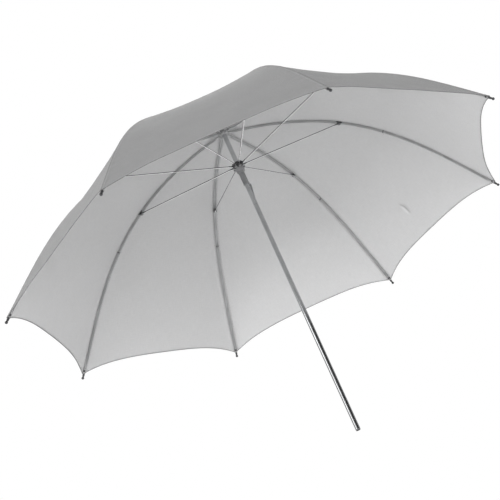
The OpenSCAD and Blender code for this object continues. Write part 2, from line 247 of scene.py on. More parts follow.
def closed_mid(g, s, v):
    """Middle of the cloth when the umbrella is folded: eight lobes that wrap round the ribs. Arrays, metres."""
    base = []
    for sgn in (-1, 1):
        vv = np.full_like(s, sgn)
        rest = gore_base(g, s, vv, np.full_like(s, 2.9)) * MM
        base.append(blended(rest, g.astype(int), s, vv, CLOSED)[1])
    r0 = np.hypot(base[0][:, 0], base[0][:, 1]) * 1000
    z0 = base[0][:, 2] * 1000
    r, z, f = at(s)
    half = r * math.sin(STEP / 2)
    reach = 60.0 * (half / 165.0) ** 0.9
    t = np.minimum(np.abs(v), 1.0)
    soft = np.maximum(0.04, 3.0 / np.maximum(half, 4.0))       # the ridge of a lobe is never sharper than about 3 mm
    up = np.clip(1 - (np.sqrt(t * t + soft * soft) - soft) / (np.sqrt(1 + soft * soft) - soft), 0, 1)
    # the half that lies outside is held off the half under it
    puff = -2.0 * np.tanh(v / 0.08) * (1 - t * t) * ease((s - 60) / 120)
    rho = r0 + 1.0 + reach * up + puff
    swirl = SWIRL * (reach / 60.0) * (0.15 * up + 0.85 * up ** 1.15)
    # the lobe is narrower than the ribs' spacing away from them
    spread = (STEP / 2) * v * (0.42 + 0.58 * t ** 3) * (1 - 0.35 * up)
    wave = np.radians(3.2) * np.sin(s / 42.0 + g * 2.1) * up + np.radians(1.8) * np.sin(s / 19.0 + 4 * g) * up
    phi = g * STEP + STEP / 2 + spread + swirl + wave
    zz = z0 + (CROWN_Z - z0) * 0.055 * up + 2.2 * np.sin(4 * t + s / 30.0 + g) * up
    return np.stack([rho * np.cos(phi), rho * np.sin(phi), zz], -1) * MM, half


def closed_pt(g, s, v, off):
    """Folded place of a cloth point: the middle surface plus the point's own distance along its normal."""
    g = np.asarray(g, float)
    p, half = closed_mid(g, s, v)
    es, ev = 0.6, 0.6 / np.maximum(half, 1.0)
    ds = closed_mid(g, s + es, v)[0] - closed_mid(g, s - es, v)[0]
    dv = closed_mid(g, s, v + ev)[0] - closed_mid(g, s, v - ev)[0]
    n = np.cross(ds, dv)
    n = n / np.maximum(np.linalg.norm(n, axis=1, keepdims=True), 1e-12)
    p = p + n * ((off - 2.9) * MM)[:, None]
    rest = gore_base(g, s, v, off) * MM
    _, plain = blended(rest, g.astype(int), s, v, CLOSED)
    # near the crown, and on the ribs, stay with the plain blend
    k = (ease((s - 40) / 90) * ease((1 - np.abs(v)) * half / 3.0))[:, None]
    return plain * (1 - k) + p * k


def slack_mid(g, s, v, mats):
    """Middle of the cloth part-way shut: the cloth the ribs no longer stretch stands out in rounded lobes that lean over."""
    rims = []
    for sgn in (-1, 1):
        vv = np.full_like(s, sgn)
        rims.append(blended(gore_base(g, s, vv, np.full_like(s, 2.9)) * MM, g.astype(int), s, vv, mats)[1])
    r0 = np.hypot(rims[0][:, 0], rims[0][:, 1]) * 1000
    z0 = rims[0][:, 2] * 1000
    r, z, f = at(s)
    half = r * math.sin(STEP / 2)
    spare = np.sqrt(np.maximum(half ** 2 - (r0 * math.sin(STEP / 2)) ** 2, 0.0))
    shut = np.clip(spare / np.maximum(half, 1.0), 0, 1)
    t = np.minimum(np.abs(v), 1.0)
    up = np.clip(1 - (np.sqrt(t * t + 0.01) - 0.1) / (math.sqrt(1.01) - 0.1), 0, 1)
    reach = 0.364 * spare
    swirl = np.sqrt(np.maximum(spare ** 2 - reach ** 2, 0)) / (r0 + 0.6 * reach + 1.0) * (0.15 * up + 0.85 * up ** 1.15)
    chord = np.sqrt(math.cos(STEP / 2) ** 2 + (t * math.sin(STEP / 2)) ** 2)
    tight = shut ** 3
    rho = r0 * (chord + (1 - chord) * tight) + reach * up - 2.0 * np.tanh(v / 0.08) * (1 - t * t) * ease((s - 60) / 120) * tight
    flat = np.arctan2(v * math.sin(STEP / 2), math.cos(STEP / 2))
    gathered = (STEP / 2) * v * (0.42 + 0.58 * t ** 3) * (1 - 0.35 * up)
    wave = (np.radians(3.2) * np.sin(s / 42.0 + g * 2.1) + np.radians(1.8) * np.sin(s / 19.0 + 4 * g)) * up * tight
    phi = g * STEP + STEP / 2 + flat * (1 - tight) + gathered * tight + swirl + wave
    zz = z0 + (CROWN_Z - z0) * 0.055 * up * tight + 2.2 * np.sin(4 * t + s / 30.0 + g) * up * tight
    return np.stack([rho * np.cos(phi), rho * np.sin(phi), zz], -1) * MM, half


def along_normal(mid, g, s, v, off, mats):
    """A cloth point's place off a folded middle surface: its own distance along that surface's normal."""
    p, half = mid(g, s, v)
    es, ev = 0.6, 0.6 / np.maximum(half, 1.0)
    ds = mid(g, s + es, v)[0] - mid(g, s - es, v)[0]
    dv = mid(g, s, v + ev)[0] - mid(g, s, v - ev)[0]
    n = np.cross(ds, dv)
    n = n / np.maximum(np.linalg.norm(n, axis=1, keepdims=True), 1e-12)
    p = p + n * ((off - 2.9) * MM)[:, None]
    _, plain = blended(gore_base(g, s, v, off) * MM, g.astype(int), s, v, mats)
    k = (ease((s - 40) / 90) * ease((1 - np.abs(v)) * half / 3.0))[:, None]
    return plain * (1 - k) + p * k


# ------------------------------------------------------------------ rig that carries the cloth with the ribs
def make_rig():
    arm = bpy.data.armatures.new("cloth_rig")
    obj = bpy.data.objects.new("cloth_rig", arm)
    bpy.context.scene.collection.objects.link(obj)
    bpy.context.view_layer.objects.active = obj
    bpy.ops.object.mode_set(mode="EDIT")
    names = ["shaft"] + [f"rib_{k}{t}" for k in range(1, RIBS + 1) for t in ("", "_mid", "_end")]
    for n in names:
        b = arm.edit_bones.new(n)
        b.head, b.tail, b.roll = (0, 0, 0), (0, 1, 0), 0.0
    bpy.ops.object.mode_set(mode="OBJECT")
    for n in names:
        c = obj.pose.bones[n].constraints.new("COPY_TRANSFORMS")
        c.target = frame["bodies"][n]
    obj.hide_render = True
    return obj


RIG = make_rig()


def carry_cloth(obj, g, s, v, off, folded=True):
    """obj's vertices are the cloth points (g, s, v, off): they follow the ribs, and take the folded shape as the fold joint closes."""
    g = np.asarray(g).astype(int)
    me = obj.data
    n = len(me.vertices)
    rest = np.zeros(n * 3)
    me.vertices.foreach_get("co", rest)
    rest = rest.reshape(-1, 3)
    shaft, parts = cloth_weights(g, s, v)
    acc = {}
    for i in np.nonzero(shaft > 1e-4)[0]:
        acc.setdefault("shaft", []).append((int(i), float(shaft[i])))
    for k, tail, wt in parts:
        for kk in range(1, RIBS + 1):
            idx = np.nonzero((k == kk) & (wt > 1e-4))[0]
            if len(idx):
                acc.setdefault(f"rib_{kk}{tail}", []).extend(zip(idx.tolist(), wt[idx].tolist()))
    for name, pairs in acc.items():
        vg = obj.vertex_groups.new(name=name)
        total = {}
        for i, w in pairs:
            total[i] = total.get(i, 0) + w
        by_w = {}
        for i, w in total.items():
            by_w.setdefault(round(w, 3), []).append(i)
        for w, ids in by_w.items():
            vg.add(ids, w, "REPLACE")
    if folded:
        gf = g.astype(float)
        obj.shape_key_add(name="open")
        stops = [0.0] + list(PART_WAY) + [1.0]
        for i, stop in enumerate(stops[1:], 1):
            if stop == 1.0:
                mats, want = CLOSED, closed_pt(g, s, v, off)
            else:
                mats = HALF_SHUT[stop]
                want = along_normal(lambda a, b, c: slack_mid(a, b, c, mats), gf, s, v, off, mats)
            m, moved = blended(rest, g, s, v, mats)
            local = np.einsum("nij,nj->ni", np.linalg.inv(m[:, :3, :3]), want - moved)
            assert np.isfinite(local).all()
            key = obj.shape_key_add(name="folded" if stop == 1.0 else f"folded_{int(stop * 100)}")
            key.data.foreach_set("co", (rest + local).ravel())
            key.value = 0.0
            d = key.driver_add("value").driver
            d.type = "SCRIPTED"
            var = d.variables.new()
            var.name = "q"
            var.type = "TRANSFORMS"
            var.targets[0].id = frame["bodies"]["rib_1"]
            var.targets[0].transform_type = "ROT_Y"
            var.targets[0].transform_space = "WORLD_SPACE"
            up_ = f"(q / {FOLD_MAX:.6f} - {stops[i - 1]}) / {stop - stops[i - 1]:.4f}"
            down = "1" if stop == 1.0 else f"({stops[i + 1]} - q / {FOLD_MAX:.6f}) / {stops[i + 1] - stop:.4f}"
            d.expression = f"max(0, min(1, {up_}, {down}))"
    mod = obj.modifiers.new("carry", "ARMATURE")
    mod.object = RIG
    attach(obj, "shaft")


# ------------------------------------------------------------------ mesh helpers
def new_mesh(name, verts, faces, mats, smooth=True, mat_index=None, uvs=None):
    me = bpy.data.meshes.new(name)
    me.from_pydata([tuple(map(float, p)) for p in verts], [], [tuple(map(int, f)) for f in faces])
    for m in mats:
        me.materials.append(m)
    if mat_index is not None:
        me.polygons.foreach_set("material_index", np.asarray(mat_index, np.int32))
    me.polygons.foreach_set("use_smooth", np.full(len(me.polygons), smooth))
    if uvs is not None:
        layer = me.uv_layers.new(name="UVMap")
        loops = np.zeros(len(me.loops), np.int32)
        me.loops.foreach_get("vertex_index", loops)
        layer.data.foreach_set("uv", np.asarray(uvs, np.float32)[loops].ravel())
    me.update()
    me.validate()
    obj = bpy.data.objects.new(name, me)
    bpy.context.scene.collection.objects.link(obj)
    return obj


def on_rib(k, pts, s_place=None):
    """pts (n, 3) in a rib's own frame (x along azimuth, y across, z up), mm, to metres in the row frame."""
    a = (k - 1) * STEP
    c, s = math.cos(a), math.sin(a)
    p = np.asarray(pts, float)
    return np.stack([p[:, 0] * c - p[:, 1] * s, p[:, 0] * s + p[:, 1] * c, p[:, 2]], -1) * MM


def rib_frame(s, local):
    """local (n, 3): along the rib, across, outwards, at arc length s -> rib's own frame, mm."""
    r, z, f = at(s)
    local = np.asarray(local, float)
    return np.stack([r + local[:, 0] * np.cos(f) + local[:, 2] * np.sin(f), local[:, 1], z - local[:, 0] * np.sin(f) + local[:, 2] * np.cos(f)], -1)


class Build:
    """Collects closed shapes into one mesh."""

    def __init__(self):
        self.v, self.f, self.m = [], [], []

    def add(self, verts, faces, mat=0):
        o = sum(len(x) for x in self.v)
        self.v.append(np.asarray(verts, float))
        self.f += [tuple(i + o for i in f) for f in faces]
        self.m += [mat] * len(faces)

    def done(self, name, mats, smooth=True):
        return new_mesh(name, np.concatenate(self.v), self.f, mats, smooth, self.m)


def sweep(rings, closed_ends=True):
    """rings: (n, m, 3) points, each a closed loop. Returns verts, faces of the closed tube."""
    rings = np.asarray(rings, float)
    n, m, _ = rings.shape
    faces = []
    for i in range(n - 1):
        for j in range(m):
            a, b = i * m + j, i * m + (j + 1) % m
            faces.append((a, b, b + m, a + m))
    if closed_ends:
        faces.append(tuple(range(m - 1, -1, -1)))
        faces.append(tuple((n - 1) * m + j for j in range(m)))
    return rings.reshape(-1, 3), faces


def thread_ring(center, u, w, ru, rw, rad, n=28, m=8, start=0.0, turns=1.0, pitch=None):
    """A thread that goes round an ellipse in the plane of u and w, mm."""
    c, u, w = np.array(center, float), np.array(u, float), np.array(w, float)
    ax = np.cross(u, w)
    steps = int(n * turns) + 1
    th = np.linspace(start, start + 2 * math.pi * turns, steps)
    path = c + np.outer(np.cos(th) * ru, u) + np.outer(np.sin(th) * rw, w)
    if pitch is not None:
        path = path + np.outer((th - start) / (2 * math.pi) * pitch, ax)
    rings = []
    closed = turns == 1.0 and pitch is None
    for i in range(steps):
        d = path[(i + 1) % steps] - path[i - 1] if closed else path[min(i + 1, steps - 1)] - path[max(i - 1, 0)]
        if closed and i in (0, steps - 1):
            d = path[1] - path[-2]
        d = d / np.linalg.norm(d)
        a = np.cross(d, ax); a /= np.linalg.norm(a)
        b = np.cross(d, a)
        t = np.linspace(0, 2 * math.pi, m, endpoint=False)
        rings.append(path[i] + rad * (np.outer(np.cos(t), a) + np.outer(np.sin(t), b)))
    if closed:
        rings = np.array(rings[:-1])
        nn, mm_, _ = rings.shape
        faces = []
        for i in range(nn):
            for j in range(mm_):
                a, b = i * mm_ + j, i * mm_ + (j + 1) % mm_
                c2, d2 = ((i + 1) % nn) * mm_ + j, ((i + 1) % nn) * mm_ + (j + 1) % mm_
                faces.append((a, b, d2, c2))
        return rings.reshape(-1, 3), faces
    return sweep(rings)


# ------------------------------------------------------------------ materials
def mat(name):
    m = bpy.data.materials.new(name)
    m.use_nodes = True
    nt = m.node_tree
    bsdf = nt.nodes["Principled BSDF"]
    return m, nt, bsdf


def node(nt, kind, **inputs):
    n = nt.nodes.new(kind)
    for k, v in inputs.items():
        if k.startswith("_"):
            setattr(n, k[1:], v)
        else:
            n.inputs[k.replace("_", " ")].default_value = v
    return n


def coords(nt, which="Object"):
    return nt.nodes.new("ShaderNodeTexCoord").outputs[which]


def link(nt, a, b):
    nt.links.new(a, b)


def mix_color(nt, fac, a, b):
    n = nt.nodes.new("ShaderNodeMix")
    n.data_type = "RGBA"
    for sock, val in ((n.inputs[0], fac), (n.inputs[6], a), (n.inputs[7], b)):
        if hasattr(val, "links"):
            nt.links.new(val, sock)
        else:
            sock.default_value = val
    return n.outputs[2]


def ramp(nt, fac, stops):
    n = nt.nodes.new("ShaderNodeMapRange")
    n.inputs["From Min"].default_value, n.inputs["From Max"].default_value = stops[0], stops[1]
    n.inputs["To Min"].default_value, n.inputs["To Max"].default_value = stops[2], stops[3]
    nt.links.new(fac, n.inputs["Value"])
    return n.outputs["Result"]


def grey(v, a=1.0):
    return (v, v, v * 1.005, a)


def math_node(nt, op, a, b=None):
    n = nt.nodes.new("ShaderNodeMath")
    n.operation = op
    for i, val in enumerate((a, b)):
        if val is None:
            continue
        if hasattr(val, "links"):
            nt.links.new(val, n.inputs[i])
        else:
            n.inputs[i].default_value = val
    return n.outputs[0]


def metal(name, base, rough, scratch=0.15, grain_scale=(900, 900, 60), wear=0.0, bevel=0.15, spec=None, metallic=1.0):
    """Plated or bare metal: streaky roughness, fine scratches, softened and brighter edges."""
    m, nt, b = mat(name)
    b.inputs["Metallic"].default_value = metallic
    co = coords(nt)
    mp = nt.nodes.new("ShaderNodeMapping")
    mp.inputs["Scale"].default_value = grain_scale
    link(nt, co, mp.inputs["Vector"])
    streak = node(nt, "ShaderNodeTexNoise", Scale=1.0, Detail=4.0, Roughness=0.6)
    link(nt, mp.outputs[0], streak.inputs["Vector"])
    cloud = node(nt, "ShaderNodeTexNoise", Scale=38.0, Detail=3.0)
    link(nt, co, cloud.inputs["Vector"])
    r1 = ramp(nt, streak.outputs["Fac"], (0.3, 0.7, rough * 0.75, rough * 1.35))
    r2 = ramp(nt, cloud.outputs["Fac"], (0.3, 0.7, -0.04, 0.06))
    link(nt, math_node(nt, "ADD", r1, r2), b.inputs["Roughness"])
    tone = mix_color(nt, ramp(nt, cloud.outputs["Fac"], (0.35, 0.65, 0, 1)), base, tuple(c * 0.86 for c in base[:3]) + (1,))
    if wear > 0:
        bev = nt.nodes.new("ShaderNodeBevel")
        bev.samples = 4
        bev.inputs["Radius"].default_value = 0.0006
        geo = nt.nodes.new("ShaderNodeNewGeometry")
        dot = nt.nodes.new("ShaderNodeVectorMath")
        dot.operation = "DOT_PRODUCT"
        link(nt, bev.outputs[0], dot.inputs[0])
        link(nt, geo.outputs["Normal"], dot.inputs[1])
        edge = ramp(nt, dot.outputs["Value"], (0.99, 0.80, 0.0, wear))
        tone = mix_color(nt, edge, tone, (0.8, 0.8, 0.8, 1))
    link(nt, tone, b.inputs["Base Color"])
    bump = node(nt, "ShaderNodeBump", Strength=scratch, Distance=0.00006)
    link(nt, streak.outputs["Fac"], bump.inputs["Height"])
    if bevel:
        bv = nt.nodes.new("ShaderNodeBevel")
        bv.samples = 4
        bv.inputs["Radius"].default_value = bevel * MM
        link(nt, bv.outputs[0], bump.inputs["Normal"])
    link(nt, bump.outputs[0], b.inputs["Normal"])
    return m


def plastic(name, base, rough=0.5, bevel=0.3, grain=0.25):
    m, nt, b = mat(name)
    co = coords(nt)
    fine = node(nt, "ShaderNodeTexNoise", Scale=2600.0, Detail=2.0)
    link(nt, co, fine.inputs["Vector"])
    cloud = node(nt, "ShaderNodeTexNoise", Scale=55.0, Detail=4.0)
    link(nt, co, cloud.inputs["Vector"])
    link(nt, mix_color(nt, ramp(nt, cloud.outputs["Fac"], (0.35, 0.65, 0, 1)), base, tuple(min(1, c * 1.5 + 0.01) for c in base[:3]) + (1,)), b.inputs["Base Color"])
    link(nt, ramp(nt, cloud.outputs["Fac"], (0.3, 0.7, rough - 0.08, rough + 0.1)), b.inputs["Roughness"])
    bump = node(nt, "ShaderNodeBump", Strength=grain, Distance=0.00008)
    link(nt, fine.outputs["Fac"], bump.inputs["Height"])
    bv = nt.nodes.new("ShaderNodeBevel")
    bv.samples = 4
    bv.inputs["Radius"].default_value = bevel * MM
    link(nt, bv.outputs[0], bump.inputs["Normal"])
    link(nt, bump.outputs[0], b.inputs["Normal"])
    return m


def cloth(name, base, rough, sheen, weave=0.5, mottle=0.06, coat=0.0, period=0.62, glow=0.0, metallic=0.0, thread_dark=0.05):
    """Plain weave from two crossed thread waves in the cloth's own UV, in millimetres, over faint mottling."""
    m, nt, b = mat(name)
    uv = nt.nodes.new("ShaderNodeUVMap")
    uv.uv_map = "UVMap"
    sep = nt.nodes.new("ShaderNodeSeparateXYZ")
    link(nt, uv.outputs[0], sep.inputs[0])
    kx = 2 * math.pi / period
    sx = math_node(nt, "SINE", math_node(nt, "MULTIPLY", sep.outputs["X"], kx))
    sy = math_node(nt, "SINE", math_node(nt, "MULTIPLY", sep.outputs["Y"], kx))
    weave_h = math_node(nt, "MULTIPLY", sx, sy)
    slub = node(nt, "ShaderNodeTexNoise", Scale=0.9, Detail=3.0, Roughness=0.65)
    mp = nt.nodes.new("ShaderNodeMapping")
    mp.inputs["Scale"].default_value = (1.0, 0.08, 1.0)
    link(nt, uv.outputs[0], mp.inputs["Vector"])
    link(nt, mp.outputs[0], slub.inputs["Vector"])
    slub2 = node(nt, "ShaderNodeTexNoise", Scale=0.9, Detail=3.0, Roughness=0.65)
    mp2 = nt.nodes.new("ShaderNodeMapping")
    mp2.inputs["Scale"].default_value = (0.08, 1.0, 1.0)
    link(nt, uv.outputs[0], mp2.inputs["Vector"])
    link(nt, mp2.outputs[0], slub2.inputs["Vector"])
    cloud = node(nt, "ShaderNodeTexNoise", Scale=0.022, Detail=5.0, Roughness=0.55)
    link(nt, uv.outputs[0], cloud.inputs["Vector"])
    both = math_node(nt, "ADD", slub.outputs["Fac"], slub2.outputs["Fac"])
    t1 = mix_color(nt, ramp(nt, cloud.outputs["Fac"], (0.3, 0.7, 0, 1)), base, tuple(c * (1 - mottle) for c in base[:3]) + (1,))
    t2 = mix_color(nt, ramp(nt, both, (0.8, 1.25, 0, 1)), t1, tuple(c * (1 - thread_dark * 2) for c in base[:3]) + (1,))
    t3 = mix_color(nt, ramp(nt, weave_h, (-1, 1, 0.0, thread_dark * 3)), t2, tuple(c * 0.8 for c in base[:3]) + (1,))
    link(nt, t3, b.inputs["Base Color"])
    b.inputs["Metallic"].default_value = metallic
    link(nt, ramp(nt, cloud.outputs["Fac"], (0.3, 0.7, rough - 0.04, rough + 0.05)), b.inputs["Roughness"])
    b.inputs["Sheen Weight"].default_value = sheen
    b.inputs["Sheen Roughness"].default_value = 0.4
    b.inputs["Coat Weight"].default_value = coat
    bump = node(nt, "ShaderNodeBump", Strength=weave, Distance=0.00005)
    link(nt, math_node(nt, "ADD", weave_h, math_node(nt, "MULTIPLY", both, 0.8)), bump.inputs["Height"])
    link(nt, bump.outputs[0], b.inputs["Normal"])
    if glow > 0:
        out = nt.nodes["Material Output"]
        tr = nt.nodes.new("ShaderNodeBsdfTranslucent")
        link(nt, t3, tr.inputs["Color"])
        mx = nt.nodes.new("ShaderNodeMixShader")
        mx.inputs[0].default_value = glow
        link(nt, b.outputs[0], mx.inputs[1])
        link(nt, tr.outputs[0], mx.inputs[2])
        link(nt, mx.outputs[0], out.inputs["Surface"])
    return m


INNER = cloth("cloth_inside", grey(0.65), 0.62, 0.12, weave=0.35, mottle=0.03, glow=0.06)


def paint_crease_shade_and_highlight(m):
    """Painted shade and painted highlight in the crease of the first gore: a dark dash painted on one flank and a light
    streak painted on the other, over the crease's real relief.
    """
    nt = m.node_tree
    uv = nt.nodes.new("ShaderNodeUVMap")
    uv.uv_map = "UVMap"
    sep = nt.nodes.new("ShaderNodeSeparateXYZ")
    link(nt, uv.outputs[0], sep.inputs[0])

    def hump(sock, centre, width, power):
        d = math_node(nt, "ABSOLUTE", math_node(nt, "DIVIDE", math_node(nt, "SUBTRACT", sock, centre), width))
        return math_node(nt, "EXPONENT", math_node(nt, "MULTIPLY", math_node(nt, "POWER", d, power), -1.0))
    # painted shade: a dark dash along one flank of the crease
    dark = math_node(nt, "MULTIPLY", hump(sep.outputs["X"], PINCH[1] - 2.0, 2.0, 2.0), hump(sep.outputs["Y"], PINCH[0], 13.5, 4.0))
    # painted highlight: a light streak along the other flank of the crease
    light = math_node(nt, "MULTIPLY", hump(sep.outputs["X"], PINCH[1] + 2.4, 2.0, 2.0), hump(sep.outputs["Y"], PINCH[0] + 4.0, 11.0, 4.0))
    for n in [n for n in nt.nodes if n.bl_idname in ("ShaderNodeBsdfPrincipled", "ShaderNodeBsdfTranslucent")]:
        sock = n.inputs["Base Color"] if "Base Color" in n.inputs else n.inputs["Color"]
        old = sock.links[0].from_socket
        # darken the cloth colour along the dash (painted shade), then lighten it along the streak (painted highlight)
        shaded = mix_color(nt, math_node(nt, "MULTIPLY", dark, 0.40), old, (0.08, 0.08, 0.08, 1))
        link(nt, mix_color(nt, math_node(nt, "MULTIPLY", light, 0.42), shaded, (0.93, 0.93, 0.93, 1)), sock)


# paint the crease's shade and highlight into the inside cloth's colour
paint_crease_shade_and_highlight(INNER)
OUTER = cloth("cloth_outside", grey(0.178), 0.58, 0.20, weave=0.45, mottle=0.04)
HEM = cloth("cloth_hem", grey(0.13), 0.6, 0.2, weave=0.5, mottle=0.08)
STRAP = cloth("strap_web", grey(0.17), 0.62, 0.3, weave=0.9, mottle=0.08, period=1.1)
THREAD = plastic("thread", grey(0.24), 0.6, bevel=0.05, grain=0.5)
TIE = plastic("tie_thread", grey(0.16), 0.65, bevel=0.05, grain=0.5)
CHROME = metal("chrome", (0.63, 0.64, 0.65, 1), 0.16, scratch=0.05, grain_scale=(2200, 2200, 16), bevel=0.2)
FERRULE = metal("ferrule_chrome", (0.78, 0.79, 0.81, 1), 0.2, scratch=0.08, bevel=0.3)
RIB = metal("rib_steel", (0.66, 0.665, 0.67, 1), 0.38, scratch=0.25, grain_scale=(260, 260, 260), wear=0.35, bevel=0.12)
JOINER = metal("joiner_steel", (0.20, 0.20, 0.205, 1), 0.42, scratch=0.3, grain_scale=(300, 300, 300), wear=0.4, bevel=0.15)
ROD = metal("stretcher_steel", (0.97, 0.97, 0.98, 1), 0.2, scratch=0.12, grain_scale=(300, 300, 300), bevel=0.1)
# painted shade and painted highlight: the stretcher rod is painted near-black wherever its surface doesn't face down,
# and only its underside keeps the very bright steel colour
_nt = ROD.node_tree
_geo = _nt.nodes.new("ShaderNodeNewGeometry")
_sep = _nt.nodes.new("ShaderNodeSeparateXYZ")
link(_nt, _geo.outputs["Normal"], _sep.inputs[0])
_rod_painted_shade = _nt.nodes.new("ShaderNodeMapRange")
_rod_painted_shade.interpolation_type = "SMOOTHSTEP"
for _k, _v in (("From Min", -0.36), ("From Max", -0.66)):
    _rod_painted_shade.inputs[_k].default_value = _v
link(_nt, _sep.outputs["Z"], _rod_painted_shade.inputs["Value"])
_b = _nt.nodes["Principled BSDF"]
_old = _b.inputs["Base Color"].links[0].from_socket
link(_nt, mix_color(_nt, _rod_painted_shade.outputs["Result"], (0.07, 0.07, 0.072, 1), _old), _b.inputs["Base Color"])
WIRE = metal("wire_steel", (0.62, 0.62, 0.63, 1), 0.28, scratch=0.1, bevel=0.0)
SPRING = metal("catch_steel", (0.45, 0.45, 0.46, 1), 0.3, scratch=0.2, wear=0.4, bevel=0.15)
TIPM = metal("tip_metal", (0.13, 0.13, 0.135, 1), 0.38, scratch=0.2, wear=0.3, bevel=0.15)
SLEEVE = metal("sleeve_grey", (0.42, 0.425, 0.43, 1), 0.34, scratch=0.15, grain_scale=(500, 500, 40), wear=0.3, bevel=0.25)
BLACK = plastic("black_plastic", (0.07, 0.07, 0.072, 1), 0.3)
HEAD = plastic("runner_head_black", (0.045, 0.045, 0.047, 1), 0.32)
_nt = HEAD.node_tree
_sep = _nt.nodes.new("ShaderNodeSeparateXYZ")
link(_nt, coords(_nt, "Generated"), _sep.inputs[0])
_collar = _nt.nodes.new("ShaderNodeMapRange")
for _k, _v in (("From Min", 0.60), ("From Max", 0.57)):
    _collar.inputs[_k].default_value = _v
link(_nt, _sep.outputs["Z"], _collar.inputs["Value"])
_flange = _nt.nodes.new("ShaderNodeMapRange")
for _k, _v in (("From Min", 0.40), ("From Max", 0.43)):
    _flange.inputs[_k].default_value = _v
link(_nt, _sep.outputs["Z"], _flange.inputs["Value"])
# between the slots the black ring reaches down over the flange in eight blunt teeth
_turn = math_node(_nt, "ARCTAN2", math_node(_nt, "SUBTRACT", _sep.outputs["Y"], 0.5), math_node(_nt, "SUBTRACT", _sep.outputs["X"], 0.5))
_tooth = ramp(_nt, math_node(_nt, "COSINE", math_node(_nt, "MULTIPLY", _turn, 8.0)), (-0.15, -0.3, 0, 1))
_dark = math_node(_nt, "MULTIPLY", _flange.outputs["Result"], _tooth)
_grey = math_node(_nt, "MULTIPLY", _collar.outputs["Result"], math_node(_nt, "SUBTRACT", 1.0, _dark))
_b = _nt.nodes["Principled BSDF"]
_old = _b.inputs["Base Color"].links[0].from_socket
link(_nt, mix_color(_nt, _grey, _old, (0.30, 0.30, 0.305, 1)), _b.inputs["Base Color"])
NOTCH = plastic("notch_plastic", (0.34, 0.34, 0.345, 1), 0.45)
PLUG = plastic("plug_plastic", (0.10, 0.10, 0.105, 1), 0.5)
WASHER = plastic("washer", (0.05, 0.05, 0.052, 1), 0.7, grain=0.6)

# ------------------------------------------------------------------ canopy mesh
SEAM_Y = np.array([0.0, 1.0, 2.6, 3.4, 3.9, 4.4, 6.4, 7.0])


N_MID = 18
HALF = len(SEAM_Y) + N_MID            # columns from a rib to the middle of its gore
HEM_D = np.array([4.4, 3.8, 3.2, 1.3, 0.4, 0.0])


def canopy_grid(n_s=84):
    """Rows down the cloth by columns right round it: gore number, s and v of every point."""
    ncol = 2 * (HALF - 1)
    col = np.arange(ncol)
    j = np.where(col < HALF, col, 2 * (HALF - 1) - col)
    side = np.where(col < HALF, -1.0, 1.0)
    frac = 1 - (1 - np.clip((j - len(SEAM_Y) + 1) / N_MID, 0, 1)) ** 1.55
    # rows crowd together where the strap is sewn on
    fine = np.linspace(0, 1, 2001)
    crowd = np.cumsum(1 + 2.6 * np.exp(-((fine - 0.886) / 0.035) ** 2) + 1.2 * np.exp(-(fine / 0.06) ** 2))
    lin = np.interp(np.linspace(0, 1, n_s), (crowd - crowd[0]) / (crowd[-1] - crowd[0]), fine)
    rows = n_s + len(HEM_D) - 1
    S = np.zeros((rows, ncol))
    V = np.zeros((rows, ncol))
    for row in range(rows):
        v = side * (1 - j / (HALF - 1))
        for _ in range(5):
            hs = hem_s(v)
            if row < n_s:
                s = HEM_IN + lin[row] * (hs - HEM_D[0] - HEM_IN)
            else:
                s = hs - HEM_D[row - n_s + 1]
            hw = np.maximum(at(s)[0] * math.sin(STEP / 2), 0.5)
            squeeze = np.minimum(1, hw / 18.0)
            flat = 1 - SEAM_Y[np.minimum(j, len(SEAM_Y) - 1)] * squeeze / hw
            start = 1 - SEAM_Y[-1] * squeeze / hw
            v = side * np.where(j < len(SEAM_Y), flat, start * (1 - frac))
        S[row], V[row] = s, v
    G = np.repeat(np.arange(RIBS), ncol)[None].repeat(rows, 0)
    return G, np.tile(S, (1, RIBS)), np.tile(V, (1, RIBS)), ncol


